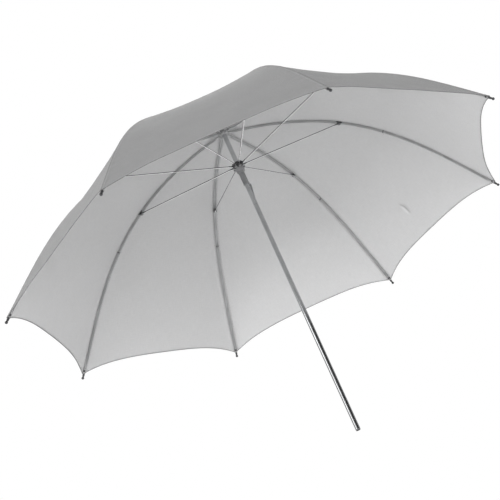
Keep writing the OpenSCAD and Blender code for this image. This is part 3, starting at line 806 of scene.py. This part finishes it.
def build_canopy():
    G, S, V, ncol = canopy_grid()
    rows, cols = G.shape
    r, z, f = at(S)
    hw = r * math.sin(STEP / 2)
    edge = (1 - np.abs(V)) * hw
    hem_dist = hem_s(V) - S
    seam = 1 - ease((edge - 3.4) / 0.5)           # felled seam on the outside
    tape = 1 - ease((edge - 6.4) / 0.6)           # seam allowance on the inside
    hem = 1 - ease((hem_dist - 3.2) / 0.6)
    fade = ease((S - 18) / 20)
    groove = np.exp(-((edge - 2.6) / 0.45) ** 2) * fade
    hgroove = np.exp(-((hem_dist - 2.4) / 0.5) ** 2)
    out_off = LIFT_OUT + 0.28 * seam * fade + 0.22 * hem - 0.12 * groove
    in_off = LIFT_IN - 0.22 * tape * fade - 0.34 * hem + 0.05 * hgroove
    uv = np.stack([V * hw + G * 400.0, S], -1)
    P_out = gore_pt(G, S, V, out_off)
    P_in = gore_pt(G, S, V, in_off)
    verts = np.concatenate([P_out.reshape(-1, 3), P_in.reshape(-1, 3)]) * MM
    uvs = np.concatenate([uv.reshape(-1, 2), uv.reshape(-1, 2)])
    faces, mi = [], []
    nv = rows * cols
    for i in range(rows - 1):
        is_hem = i >= rows - 3
        for j in range(cols):
            j2 = (j + 1) % cols
            a, b, c, d = i * cols + j, i * cols + j2, (i + 1) * cols + j2, (i + 1) * cols + j
            faces.append((d, c, b, a)); mi.append(2 if (i > 8 and j % ncol in (0, ncol - 1)) else 0)
            faces.append((a + nv, b + nv, c + nv, d + nv)); mi.append(2 if is_hem else 1)
    for j in range(cols):
        j2 = (j + 1) % cols
        i = (rows - 1) * cols
        faces.append((i + j, i + j + nv, i + j2 + nv, i + j2)); mi.append(2)
        faces.append((j2, j2 + nv, j + nv, j)); mi.append(0)
    obj = new_mesh("canopy_cloth", verts, faces, [OUTER, INNER, HEM], True, mi, uvs)
    # crease along each seam and the cloth's edges
    me = obj.data
    sharp = np.zeros(len(me.edges), bool)
    ev = np.zeros(len(me.edges) * 2, np.int32)
    me.edges.foreach_get("vertices", ev)
    ev = ev.reshape(-1, 2)
    layer = ev // nv
    col = (ev % nv) % cols
    row = (ev % nv) // cols
    sharp |= (layer[:, 0] == layer[:, 1]) & (col[:, 0] == col[:, 1]) & (col[:, 0] % ncol == 0) & (row.min(1) > 6)
    sharp |= (row[:, 0] == row[:, 1]) & (row[:, 0] == rows - 1)
    sharp |= (row[:, 0] == row[:, 1]) & (row[:, 0] == 0)
    me.edges.foreach_set("use_edge_sharp", sharp)
    g2, s2, v2 = (np.concatenate([x.ravel(), x.ravel()]) for x in (G, S, V))
    off = np.concatenate([out_off.ravel(), in_off.ravel()])
    carry_cloth(obj, g2, s2, v2, off)
    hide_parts("canopy")
    return obj


canopy = build_canopy()


# ------------------------------------------------------------------ stitching, as real thread
def stitch_run(acc, g, s_path, v_path, off, out=True, pitch=3.1, length=2.1, wide=0.24, high=0.2):
    """Stitches along a path given as arrays of s and v in gore g."""
    p = gore_pt(np.full(len(s_path), g), s_path, v_path, np.full(len(s_path), off))
    d = np.concatenate([[0], np.cumsum(np.linalg.norm(np.diff(p, axis=0), axis=1))])
    n = int(d[-1] / pitch)
    if n < 2:
        return
    mid = (np.arange(n) + 0.5) * d[-1] / n
    sides = np.array([[-0.5, -1, 0], [-0.5, 1, 0], [0.5, 1, 0], [0.5, -1, 0], [-0.28, -0.5, 1], [-0.28, 0.5, 1], [0.28, 0.5, 1], [0.28, -0.5, 1]])
    fs = [(0, 1, 2, 3), (4, 7, 6, 5), (0, 4, 5, 1), (1, 5, 6, 2), (2, 6, 7, 3), (3, 7, 4, 0)]
    sgn = 1 if out else -1
    for m_ in mid:
        ss = np.interp([m_ - length / 2, m_, m_ + length / 2], d, s_path)
        vv = np.interp([m_ - length / 2, m_, m_ + length / 2], d, v_path)
        q = gore_pt(np.full(3, g), ss, vv, np.full(3, off))
        t = q[2] - q[0]
        t /= np.linalg.norm(t)
        up = gore_pt(np.array([g]), ss[1:2], vv[1:2], np.array([off + 1.0]))[0] - q[1]
        up /= np.linalg.norm(up)
        up = up * sgn
        b = np.cross(up, t)
        b /= np.linalg.norm(b)
        skew = 0.12
        pts = q[1] + np.outer(sides[:, 0] * length, t + b * skew) + np.outer(sides[:, 1] * wide, b) + np.outer(sides[:, 2] * high, up) - 0.05 * up
        o = len(acc["v"])
        acc["v"].extend(pts.tolist())
        acc["f"].extend([tuple(i + o for i in (f if sgn > 0 else f)) for f in fs])
        # the same corners in the cloth's own measures, which the folded shapes are drawn from
        hw = float(at(ss[1])[0]) * math.sin(STEP / 2)
        t2 = np.array([ss[2] - ss[0], (vv[2] - vv[0]) * hw])
        t2 /= np.linalg.norm(t2)
        b2 = sgn * np.array([-t2[1], t2[0]])
        flat = np.outer(sides[:, 0] * length, t2 + b2 * skew) + np.outer(sides[:, 1] * wide, b2)
        acc["g"].extend([g] * 8)
        acc["s"].extend((ss[1] + flat[:, 0]).tolist())
        acc["w"].extend((vv[1] + flat[:, 1] / hw).tolist())
        acc["o"].extend((off + sgn * (sides[:, 2] * high - 0.05)).tolist())


def build_stitches():
    acc = {"v": [], "f": [], "g": [], "s": [], "w": [], "o": []}
    for g in range(RIBS):
        s = np.linspace(24, 522, 160)
        r, _, _ = at(s)
        hw = r * math.sin(STEP / 2)
        sq = np.minimum(1, hw / 18.0)
        for side in (-1, 1):
            v = side * (1 - 2.6 * sq / hw)
            stitch_run(acc, g, s, v, LIFT_OUT + 0.16, True)
        for side in (-1, 1):
            v = side * (1 - 5.2 * sq / hw)
            stitch_run(acc, g, s, v, LIFT_IN - 0.2, False, pitch=3.4)
        v = np.linspace(-0.972, 0.972, 160)
        stitch_run(acc, g, hem_s(v) - 2.4, v, LIFT_OUT + 0.1, True)
        stitch_run(acc, g, hem_s(v) - 2.4, v, LIFT_IN - 0.29, False)
    obj = new_mesh("canopy_stitching", np.array(acc["v"]) * MM, acc["f"], [THREAD], False)
    carry_cloth(obj, np.array(acc["g"]), np.array(acc["s"]), np.array(acc["w"]), np.array(acc["o"]))
    return obj


stitching = build_stitches()


# ------------------------------------------------------------------ closing strap on the first gore's outside
def gore_y(s, y):
    r, _, _ = at(s)
    return y / (r * math.sin(STEP / 2))


def build_strap():
    """A webbing tongue, sewn at one end, that lies on the outside of the cloth."""
    S0, W, L0, L1 = 445.0, 9.0, -12.0, 101.0
    ny, nx = 60, 11
    ys = np.linspace(L0, L1, ny)
    xs = np.linspace(-1, 1, nx)
    top_v, faces = [], []
    G, S, Vv, O = [], [], [], []
    for layer in (1, 0):
        for y in ys:
            # rounded free end
            w = W if y < L1 - W else math.sqrt(max(0.0, W * W - (y - (L1 - W)) ** 2)) + 0.02
            lift = 1.3 + 1.4 * ease((y + 2) / 25.0) + 0.5 * math.sin(y / 17.0)
            for x in xs:
                s = S0 + x * w
                v = float(gore_y(s, y))
                edge_roll = 0.25 * (abs(x) > 0.9)
                base = LIFT_OUT + lift - (0.9 if y < -1 else 0.0) * 0.6
                O.append(base + (1.25 - edge_roll if layer else 0.0 + edge_roll))
                G.append(0); S.append(s); Vv.append(v)
    G, S, Vv, O = np.array(G), np.array(S), np.array(Vv), np.array(O)
    pts = gore_pt(G, S, Vv, O)
    n = ny * nx
    for i in range(ny - 1):
        for j in range(nx - 1):
            a, b, c, d = i * nx + j, i * nx + j + 1, (i + 1) * nx + j + 1, (i + 1) * nx + j
            faces.append((a, b, c, d))
            faces.append((d + n, c + n, b + n, a + n))
    for i in range(ny - 1):
        for j0, flip in ((0, False), (nx - 1, True)):
            a, d = i * nx + j0, (i + 1) * nx + j0
            q = (a, d, d + n, a + n)
            faces.append(q[::-1] if flip else q)
    for j in range(nx - 1):
        a, b = j, j + 1
        faces.append((b, a, a + n, b + n))
        a, b = (ny - 1) * nx + j, (ny - 1) * nx + j + 1
        faces.append((a, b, b + n, a + n))
    uv = np.stack([Vv * 160, S], -1)
    obj = new_mesh("closing_strap", pts * MM, faces, [STRAP], True, None, uv)
    carry_cloth(obj, G, S, Vv, O)
    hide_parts("tie_strap")
    # edge and box stitching
    acc = {"v": [], "f": [], "g": [], "s": [], "w": [], "o": []}

    def run(ss, yy, off):
        ss, yy = np.array(ss, float), np.array(yy, float)
        t = np.linspace(0, 1, 60)
        k = np.linspace(0, 1, len(ss))
        s_, y_ = np.interp(t, k, ss), np.interp(t, k, yy)
        v_ = y_ / (at(s_)[0] * math.sin(STEP / 2))
        stitch_run(acc, 0, s_, v_, off, True, pitch=2.6, length=1.8)
    top = LIFT_OUT + 1.3 + 1.25 - 0.54
    run([S0 - 7, S0 - 7], [-10.5, -2], top)
    run([S0 + 7, S0 + 7], [-10.5, -2], top)
    run([S0 - 7, S0 + 7], [-10.5, -10.5], top)
    run([S0 - 7, S0 + 7], [-2.0, -2.0], top + 0.05)
    run([S0 - 7, S0 + 7], [-10.5, -2.0], top)
    run([S0 + 7, S0 - 7], [-10.5, -2.0], top)
    for sx in (-7.2, 7.2):
        for y0 in np.arange(2, 84, 6.0):
            yy = np.array([y0, y0 + 6.0])
            o = LIFT_OUT + 1.3 + 1.4 * ease((yy.mean() + 2) / 25.0) + 0.5 * math.sin(yy.mean() / 17.0) + 1.25
            run([S0 + sx, S0 + sx], yy, float(o))
    st = new_mesh("strap_stitching", np.array(acc["v"]) * MM, acc["f"], [THREAD], False)
    carry_cloth(st, np.array(acc["g"]), np.array(acc["s"]), np.array(acc["w"]), np.array(acc["o"]))
    # snap cap, a turned profile that keeps to the strap
    prof = [(0, 2.0), (1.6, 1.95), (2.6, 1.7), (3.0, 1.25), (3.4, 1.05), (4.3, 1.1), (4.9, 0.75), (5.0, 0.3), (4.8, 0.0), (0, -0.05)]
    yc = 90.0
    base = LIFT_OUT + 1.0 + 1.7 + 0.5 * math.sin(yc / 17.0) + 1.2
    seg = 40
    V3, G3, S3, W3, O3, F3 = [], [], [], [], [], []
    for r_, h_ in prof:
        for i in range(seg):
            a = 2 * math.pi * i / seg
            s = S0 + r_ * math.cos(a)
            y = yc + r_ * math.sin(a)
            G3.append(0); S3.append(s); W3.append(float(gore_y(S0, y))); O3.append(base + h_)
    G3, S3, W3, O3 = map(np.array, (G3, S3, W3, O3))
    c = gore_base(np.array([0]), np.array([S0]), np.array([float(gore_y(S0, yc))]), np.array([base]))[0]
    P3 = gore_base(G3, S3, W3, O3)
    for k in range(len(prof) - 1):
        for i in range(seg):
            a, b = k * seg + i, k * seg + (i + 1) % seg
            if prof[k][0] == 0:
                continue
            if prof[k + 1][0] == 0:
                continue
            F3.append((a, b, b + seg, a + seg))
    F3.append(tuple(range(seg, 2 * seg))[::-1])
    k = len(prof) - 2
    F3.append(tuple(range(k * seg, (k + 1) * seg)))
    keep = slice(seg, (len(prof) - 1) * seg)
    F3 = [tuple(i - seg for i in f) for f in F3]
    snap = new_mesh("strap_snap_cap", P3[keep] * MM, F3, [FERRULE], True)
    carry_cloth(snap, G3[keep], S3[keep], W3[keep], O3[keep])
    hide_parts("strap_snap")


build_strap()


# ------------------------------------------------------------------ ribs
def u_section(w=3.6, h=2.8, t=0.5, n=5):
    """Channel section with rounded corners, (across, outwards), mm, counter-clockwise."""
    pts = []

    def arc(cx, cz, r, a0, a1):
        for a in np.radians(np.linspace(a0, a1, n)):
            pts.append((cx + r * math.cos(a), cz + r * math.sin(a)))
    ro, ri = 0.9, 0.45
    arc(w / 2 - t / 2, -h / 2 + t / 2, t / 2, -180, 0)
    arc(w / 2 - ro, h / 2 - ro, ro, 0, 90)
    arc(-w / 2 + ro, h / 2 - ro, ro, 90, 180)
    arc(-w / 2 + t / 2, -h / 2 + t / 2, t / 2, 180, 360)
    arc(-w / 2 + t + ri, h / 2 - t - ri, ri, 180, 90)
    arc(w / 2 - t - ri, h / 2 - t - ri, ri, 90, 0)
    return np.array(pts)


SEC = u_section()


def plate_eye(bld, k, length=11.0, thick=1.6, hole=0.66, outer=1.8):
    """Flattened rib end with a round eye, in the crown ring."""
    n = 28
    ang = np.linspace(0, 2 * math.pi, n, endpoint=False)
    ring_o = np.stack([outer * np.cos(ang), outer * np.sin(ang)], -1)
    # outline: eye then two straight sides to the channel
    out = []
    for a in np.linspace(math.radians(42), math.radians(318), 24):
        out.append((outer * math.cos(a), outer * math.sin(a)))
    out += [(outer, -1.15), (length, -1.15), (length, 1.15), (outer, 1.15)]
    out = np.array(out)
    hol = np.stack([hole * np.cos(ang), hole * np.sin(ang)], -1)
    # bridge the hole to the outline by a slit
    i0 = int(np.argmin(np.abs(out[:, 0] + outer) + np.abs(out[:, 1])))
    loop = np.concatenate([out[i0:], out[:i0 + 1]])
    j0 = int(np.argmin(hol[:, 0]))
    hl = np.concatenate([hol[j0:], hol[:j0 + 1]])[::-1]
    poly = np.concatenate([loop, hl])
    m = len(poly)
    verts, faces = [], []
    for y in (-thick / 2, thick / 2):
        loc = np.stack([poly[:, 0], np.full(m, y), poly[:, 1]], -1)
        verts.append(rib_frame(RING_R, loc))
    faces.append(tuple(range(m)))
    faces.append(tuple(range(2 * m - 1, m - 1, -1)))
    for i in range(m - 1):
        if i == len(loop) - 1:
            continue
        faces.append((i + 1, i, i + m, i + 1 + m))
    bld.add(on_rib(k, np.concatenate(verts)), faces, 0)


def rib_sweep(bld, k, s0, s1, step=7.0):
    ss = np.linspace(s0, s1, max(3, int((s1 - s0) / step)))
    rings = []
    for s in ss:
        loc = np.stack([np.zeros(len(SEC)), SEC[:, 0], SEC[:, 1]], -1)
        rings.append(on_rib(k, rib_frame(s, loc)))
    v, f = sweep(rings)
    bld.add(v, f, 0)


def joiner_clip(bld, k):
    """Folded sheet clip round the channel, whose ears carry the stretcher's rivet."""
    w, t = 2.2, 0.4
    top = 1.42 + t
    n = 9
    prof = []
    for a in np.linspace(math.radians(-90), math.radians(0), 1):
        pass
    xs = np.linspace(-5.2, 5.2, 21)
    outer, inner = [], []
    for x in xs:
        # ear hangs lowest at the rivet
        drop = 1.2 + 3.0 * max(0.0, 1 - (x / 3.4) ** 2) ** 0.5 if abs(x) < 3.4 else 1.2
        ol = [(w, -drop), (w, 0.8), (w - 0.35, top - 0.15), (w - 0.9, top), (-w + 0.9, top), (-w + 0.35, top - 0.15), (-w, 0.8), (-w, -drop)]
        il = [(-w + t, -drop), (-w + t, 0.8), (-w + 0.62, top - t - 0.1), (-w + 1.0, top - t), (w - 1.0, top - t), (w - 0.62, top - t - 0.1), (w - t, 0.8), (w - t, -drop)]
        loop = ol + il
        loc = np.array([(x, a, b) for a, b in loop])
        outer.append(on_rib(k, rib_frame(JOIN_S, loc)))
    v, f = sweep(np.array(outer))
    bld.add(v, f, 1)


def build_ribs():
    for k in range(1, RIBS + 1):
        A = Build()
        plate_eye(A, k)
        rib_sweep(A, k, RING_R + 5.2, 300)
        joiner_clip(A, k)
        oa = A.done(f"rib_channel_{k}_crown_half", [RIB, JOINER])
        B_ = Build()
        rib_sweep(B_, k, 300, 521)
        # pin that carries the tip
        ang = np.linspace(0, 2 * math.pi, 14, endpoint=False)
        rings = []
        for s in (512, 520, 528, 533):
            loc = np.stack([np.zeros(14), 1.08 * np.cos(ang), 0.15 + 1.08 * np.sin(ang)], -1)
            rings.append(on_rib(k, rib_frame(s, loc)))
        v, f = sweep(rings)
        B_.add(v, f, 0)
        ob = B_.done(f"rib_channel_{k}_tip_half", [RIB])
        for o in (oa, ob):
            me = o.data
            me.set_sharp_from_angle(angle=math.radians(40))

        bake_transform(oa)
        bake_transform(ob)
        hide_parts(f"rib_{k}_inner", f"rib_{k}_middle")
        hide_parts(f"rib_{k}_outer", f"rib_{k}_middle")
        # thread that ties cloth to rib
        T = Build()
        for i, ds in enumerate((-0.8, -0.2, 0.4, 1.0)):
            cen = rib_frame(300 + ds, np.array([[0, 0, 0.35]]))[0]
            r, z, f_ = at(300.0)
            w = np.array([math.sin(f_), 0, math.cos(f_)])
            v, f = thread_ring(cen, (0, 1, 0), w, 2.25 + 0.1 * (i % 2), 2.25, 0.3)
            T.add(on_rib(k, v), f)
        for dx, dy, dz in ((0.2, 0.8, -2.1), (0.9, -0.4, -2.3), (-0.5, 0.1, -2.35)):
            cen = rib_frame(300 + dx, np.array([[0, dy, dz + 0.35]]))[0]
            v, f = thread_ring(cen, (1, 0, 0), (0, 1, 0), 0.45, 0.5, 0.28, n=14, m=7)
            T.add(on_rib(k, v), f)
        # loose ends
        for sgn in (-1, 1):
            path = np.array([rib_frame(300.0, np.array([[0.3 * sgn, 0.5 * sgn, -2.2]]))[0], rib_frame(300.0 + 1.5 * sgn, np.array([[0, 1.4 * sgn, -3.2]]))[0], rib_frame(300.0 + 3.2 * sgn, np.array([[0, 1.9 * sgn, -4.6]]))[0]])
            tt = np.linspace(0, 2 * math.pi, 7, endpoint=False)
            rings = [p + 0.22 * np.stack([np.cos(tt), np.sin(tt), 0 * tt], -1) for p in path]
            v, f = sweep(rings)
            T.add(on_rib(k, v), f)
        ot = T.done(f"rib_tie_{k}", [TIE])
        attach(ot, f"rib_{k}_mid")
        # binding that holds the corner to the tip
        C = Build()
        for i in range(5):
            q = 524.6 + i * 0.62
            cen = rib_frame(q, np.array([[0, 0, 0.15]]))[0]
            r, z, f_ = at(q)
            w = np.array([math.sin(f_), 0, math.cos(f_)])
            v, f = thread_ring(cen, (0, 1, 0), w, 2.15, 2.15, 0.3, n=24, m=7)
            C.add(on_rib(k, v), f)
        for sgn in (-1, 1):
            p0 = rib_frame(525.6, np.array([[0, 0.6 * sgn, 2.1]]))[0]
            p1 = rib_frame(524.0, np.array([[0, 1.2 * sgn, 2.7]]))[0]
            p2 = rib_frame(521.0, np.array([[0, 1.7 * sgn, 3.2]]))[0]
            tt = np.linspace(0, 2 * math.pi, 7, endpoint=False)
            rings = [p + 0.26 * np.stack([0 * tt, np.cos(tt), np.sin(tt)], -1) for p in (p0, p1, p2)]
            v, f = sweep(rings)
            C.add(on_rib(k, v), f)
        oc = C.done(f"tip_binding_{k}", [THREAD])
        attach(oc, f"rib_{k}_end")


build_ribs()

# ------------------------------------------------------------------ CAD nodes that stay, with their finishes
FINISH = {"shaft_tube": CHROME, "end_plug": PLUG, "crown_notch": NOTCH, "crown_wire": WIRE, "crown_pin": WIRE,
          "top_ferrule": FERRULE, "top_washer": WASHER, "catch_lever": SPRING, "catch_pin": WIRE,
          "runner_sleeve": SLEEVE, "runner_head": HEAD, "runner_wire": WIRE}
for k in range(1, RIBS + 1):
    FINISH[f"stretcher_{k}"] = ROD
    FINISH[f"rib_tip_{k}"] = TIPM
for n, m in FINISH.items():
    o = NODES[n]
    o.data.materials.clear()
    o.data.materials.append(m)

# ------------------------------------------------------------------ floor, light, camera
def stage_floor():
    s = 40.0
    z = -0.0016
    obj = new_mesh("floor", [(-s, -s, z), (s, -s, z), (s, s, z), (-s, s, z)], [(0, 1, 2, 3)], [], False)
    m, nt, b = mat("floor_paper")
    b.inputs["Base Color"].default_value = (0.86, 0.86, 0.86, 1)
    b.inputs["Roughness"].default_value = 0.9
    geo = nt.nodes.new("ShaderNodeNewGeometry")
    grain = node(nt, "ShaderNodeTexNoise", Scale=380.0, Detail=3.0)
    link(nt, geo.outputs["Position"], grain.inputs["Vector"])
    bump = node(nt, "ShaderNodeBump", Strength=0.05, Distance=0.0003)
    link(nt, grain.outputs["Fac"], bump.inputs["Height"])
    link(nt, bump.outputs[0], b.inputs["Normal"])
    # the paper sweeps up into the white background away from the part
    sep = nt.nodes.new("ShaderNodeVectorMath")
    sep.operation = "LENGTH"
    link(nt, geo.outputs["Position"], sep.inputs[0])
    far = nt.nodes.new("ShaderNodeMapRange")
    far.interpolation_type = "SMOOTHSTEP"
    far.inputs["From Min"].default_value, far.inputs["From Max"].default_value = 0.5, 2.6
    far.inputs["To Min"].default_value = 0.45
    link(nt, sep.outputs["Value"], far.inputs["Value"])
    white = node(nt, "ShaderNodeEmission", Color=(1, 1, 1, 1), Strength=1.0)
    lp = nt.nodes.new("ShaderNodeLightPath")
    fade = math_node(nt, "MULTIPLY", far.outputs["Result"], lp.outputs["Is Camera Ray"])
    sweep_up = nt.nodes.new("ShaderNodeMixShader")
    link(nt, fade, sweep_up.inputs[0])
    link(nt, b.outputs[0], sweep_up.inputs[1])
    link(nt, white.outputs[0], sweep_up.inputs[2])
    tr = nt.nodes.new("ShaderNodeBsdfTransparent")
    mx = nt.nodes.new("ShaderNodeMixShader")
    # seen from underneath the paper isn't there, so a low camera looks up past it
    link(nt, geo.outputs["Backfacing"], mx.inputs[0])
    link(nt, sweep_up.outputs[0], mx.inputs[1])
    link(nt, tr.outputs[0], mx.inputs[2])
    link(nt, mx.outputs[0], nt.nodes["Material Output"].inputs["Surface"])
    obj.data.materials.append(m)
    obj.visible_shadow = False
    return obj


FLOOR = stage_floor()


def world():
    w = bpy.data.worlds.new("studio")
    bpy.context.scene.world = w
    w.use_nodes = True
    nt = w.node_tree
    nt.nodes.clear()
    out = nt.nodes.new("ShaderNodeOutputWorld")
    seen = nt.nodes.new("ShaderNodeBackground")
    seen.inputs["Color"].default_value = (1, 1, 1, 1)
    seen.inputs["Strength"].default_value = 1.0
    lit = nt.nodes.new("ShaderNodeBackground")
    lit.inputs["Color"].default_value = (1, 1, 1, 1)
    lit.inputs["Strength"].default_value = 0.70
    refl = nt.nodes.new("ShaderNodeBackground")
    lp = nt.nodes.new("ShaderNodeLightPath")
    geo = nt.nodes.new("ShaderNodeTexCoord")
    # what shiny metal sees: a dim room, a bright panel to the left and a dark one to the right

    def patch(direction, inner, outer):
        dot = nt.nodes.new("ShaderNodeVectorMath")
        dot.operation = "DOT_PRODUCT"
        dot.inputs[1].default_value = direction
        nt.links.new(geo.outputs["Generated"], dot.inputs[0])
        mp = nt.nodes.new("ShaderNodeMapRange")
        mp.interpolation_type = "SMOOTHSTEP"
        mp.inputs["From Min"].default_value = math.cos(math.radians(outer))
        mp.inputs["From Max"].default_value = math.cos(math.radians(inner))
        nt.links.new(dot.outputs["Value"], mp.inputs["Value"])
        return mp.outputs["Result"]
    room = mix_color(nt, patch((0.323, -0.854, 0.407), 26, 48), (0.34, 0.34, 0.34, 1), (0.015, 0.015, 0.015, 1))
    room = mix_color(nt, patch((-0.871, -0.278, 0.407), 9, 20), room, (2.6, 2.6, 2.6, 1))
    nt.links.new(room, refl.inputs["Color"])
    refl.inputs["Strength"].default_value = 1.0
    m1 = nt.nodes.new("ShaderNodeMixShader")
    nt.links.new(lp.outputs["Is Glossy Ray"], m1.inputs[0])
    nt.links.new(lit.outputs[0], m1.inputs[1])
    nt.links.new(refl.outputs[0], m1.inputs[2])
    m2 = nt.nodes.new("ShaderNodeMixShader")
    nt.links.new(lp.outputs["Is Camera Ray"], m2.inputs[0])
    nt.links.new(m1.outputs[0], m2.inputs[1])
    nt.links.new(seen.outputs[0], m2.inputs[2])
    nt.links.new(m2.outputs[0], out.inputs["Surface"])


world()


def area(name, loc, target, size, power):
    d = bpy.data.lights.new(name, "AREA")
    d.shape = "SQUARE"
    d.size = size
    d.energy = power
    o = bpy.data.objects.new(name, d)
    o.location = loc
    v = Vector(target) - Vector(loc)
    o.rotation_euler = v.to_track_quat("-Z", "Y").to_euler()
    # the reflections on the metal come from the world's panels, not from the lamps
    o.visible_glossy = False
    o.visible_camera = False
    bpy.context.scene.collection.objects.link(o)
    return o


area("left", (-2.6, -1.0, 0.5), (0, 0, 0.4), 1.4, 63)
area("front", (0.6, -2.9, 0.4), (0, 0, 0.4), 1.3, 49)
area("low_left", (-2.6, -0.5, -0.6), (0, 0, 0.4), 1.4, 26)
area("low_right", (1.8, -2.0, -0.8), (0, 0, 0.4), 1.4, 15)
area("top", (-2.0, -1.4, 2.4), (0, 0, 0.4), 2.0, 3)
side = area("side", (2.8, 0.6, 1.3), (0, 0, 0.4), 1.4, 14)
back = area("back", (0.6, 2.9, 1.6), (0, 0, 0.4), 1.6, 34)
# these two light the far side of the part only, so that the floor doesn't throw their light up into the canopy
_keep = bpy.data.collections.new("not_the_floor")
_keep.objects.link(FLOOR)
_keep.collection_objects[0].light_linking.link_state = "EXCLUDE"
for _o in (side, back):
    _o.light_linking.receiver_collection = _keep

# camera: rows are the image's right, up and back directions
CAM_C = (-0.678175, -1.796483, -0.481689)
CAM_ROT = (1.084389, -0.552684, 0.008016)
CAM_F = 1223.34
CAM_PP = (172.39, 0.7785)


def rodrigues(w):
    th = math.sqrt(sum(c * c for c in w))
    return Matrix.Rotation(th, 3, Vector(w))


def camera():
    m = rodrigues(CAM_ROT)      # row frame to camera axes: right, down, forward
    rows = [Vector(m[i]) for i in range(3)]
    rot = Matrix((rows[0], -rows[1], -rows[2])).transposed()
    d = bpy.data.cameras.new("camera")
    d.sensor_width = 36
    d.sensor_fit = "HORIZONTAL"
    d.lens = CAM_F * 36 / 500
    d.clip_start = 0.01
    d.clip_end = 100
    o = bpy.data.objects.new("camera", d)
    o.matrix_world = Matrix.Translation(Vector(CAM_C)) @ rot.to_4x4()
    bpy.context.scene.collection.objects.link(o)
    bpy.context.scene.camera = o
    # the photograph's frame is off the lens axis; any other view of the scene is taken on axis
    for prop, value in (("shift_x", -CAM_PP[0] / 500), ("shift_y", CAM_PP[1] / 500)):
        drv = d.driver_add(prop).driver
        drv.type = "SCRIPTED"
        for name, axis in (("x", "LOC_X"), ("z", "LOC_Z")):
            var = drv.variables.new()
            var.name = name
            var.type = "TRANSFORMS"
            var.targets[0].id = o
            var.targets[0].transform_type = axis
            var.targets[0].transform_space = "WORLD_SPACE"
        drv.expression = f"{value:.6f} * max(0, 1 - 50 * abs(x - ({CAM_C[0]})) - 50 * abs(z - ({CAM_C[2]})))"
    return o


camera()
bpy.context.scene.view_settings.view_transform = "Standard"

bpy.context.view_layer.update()
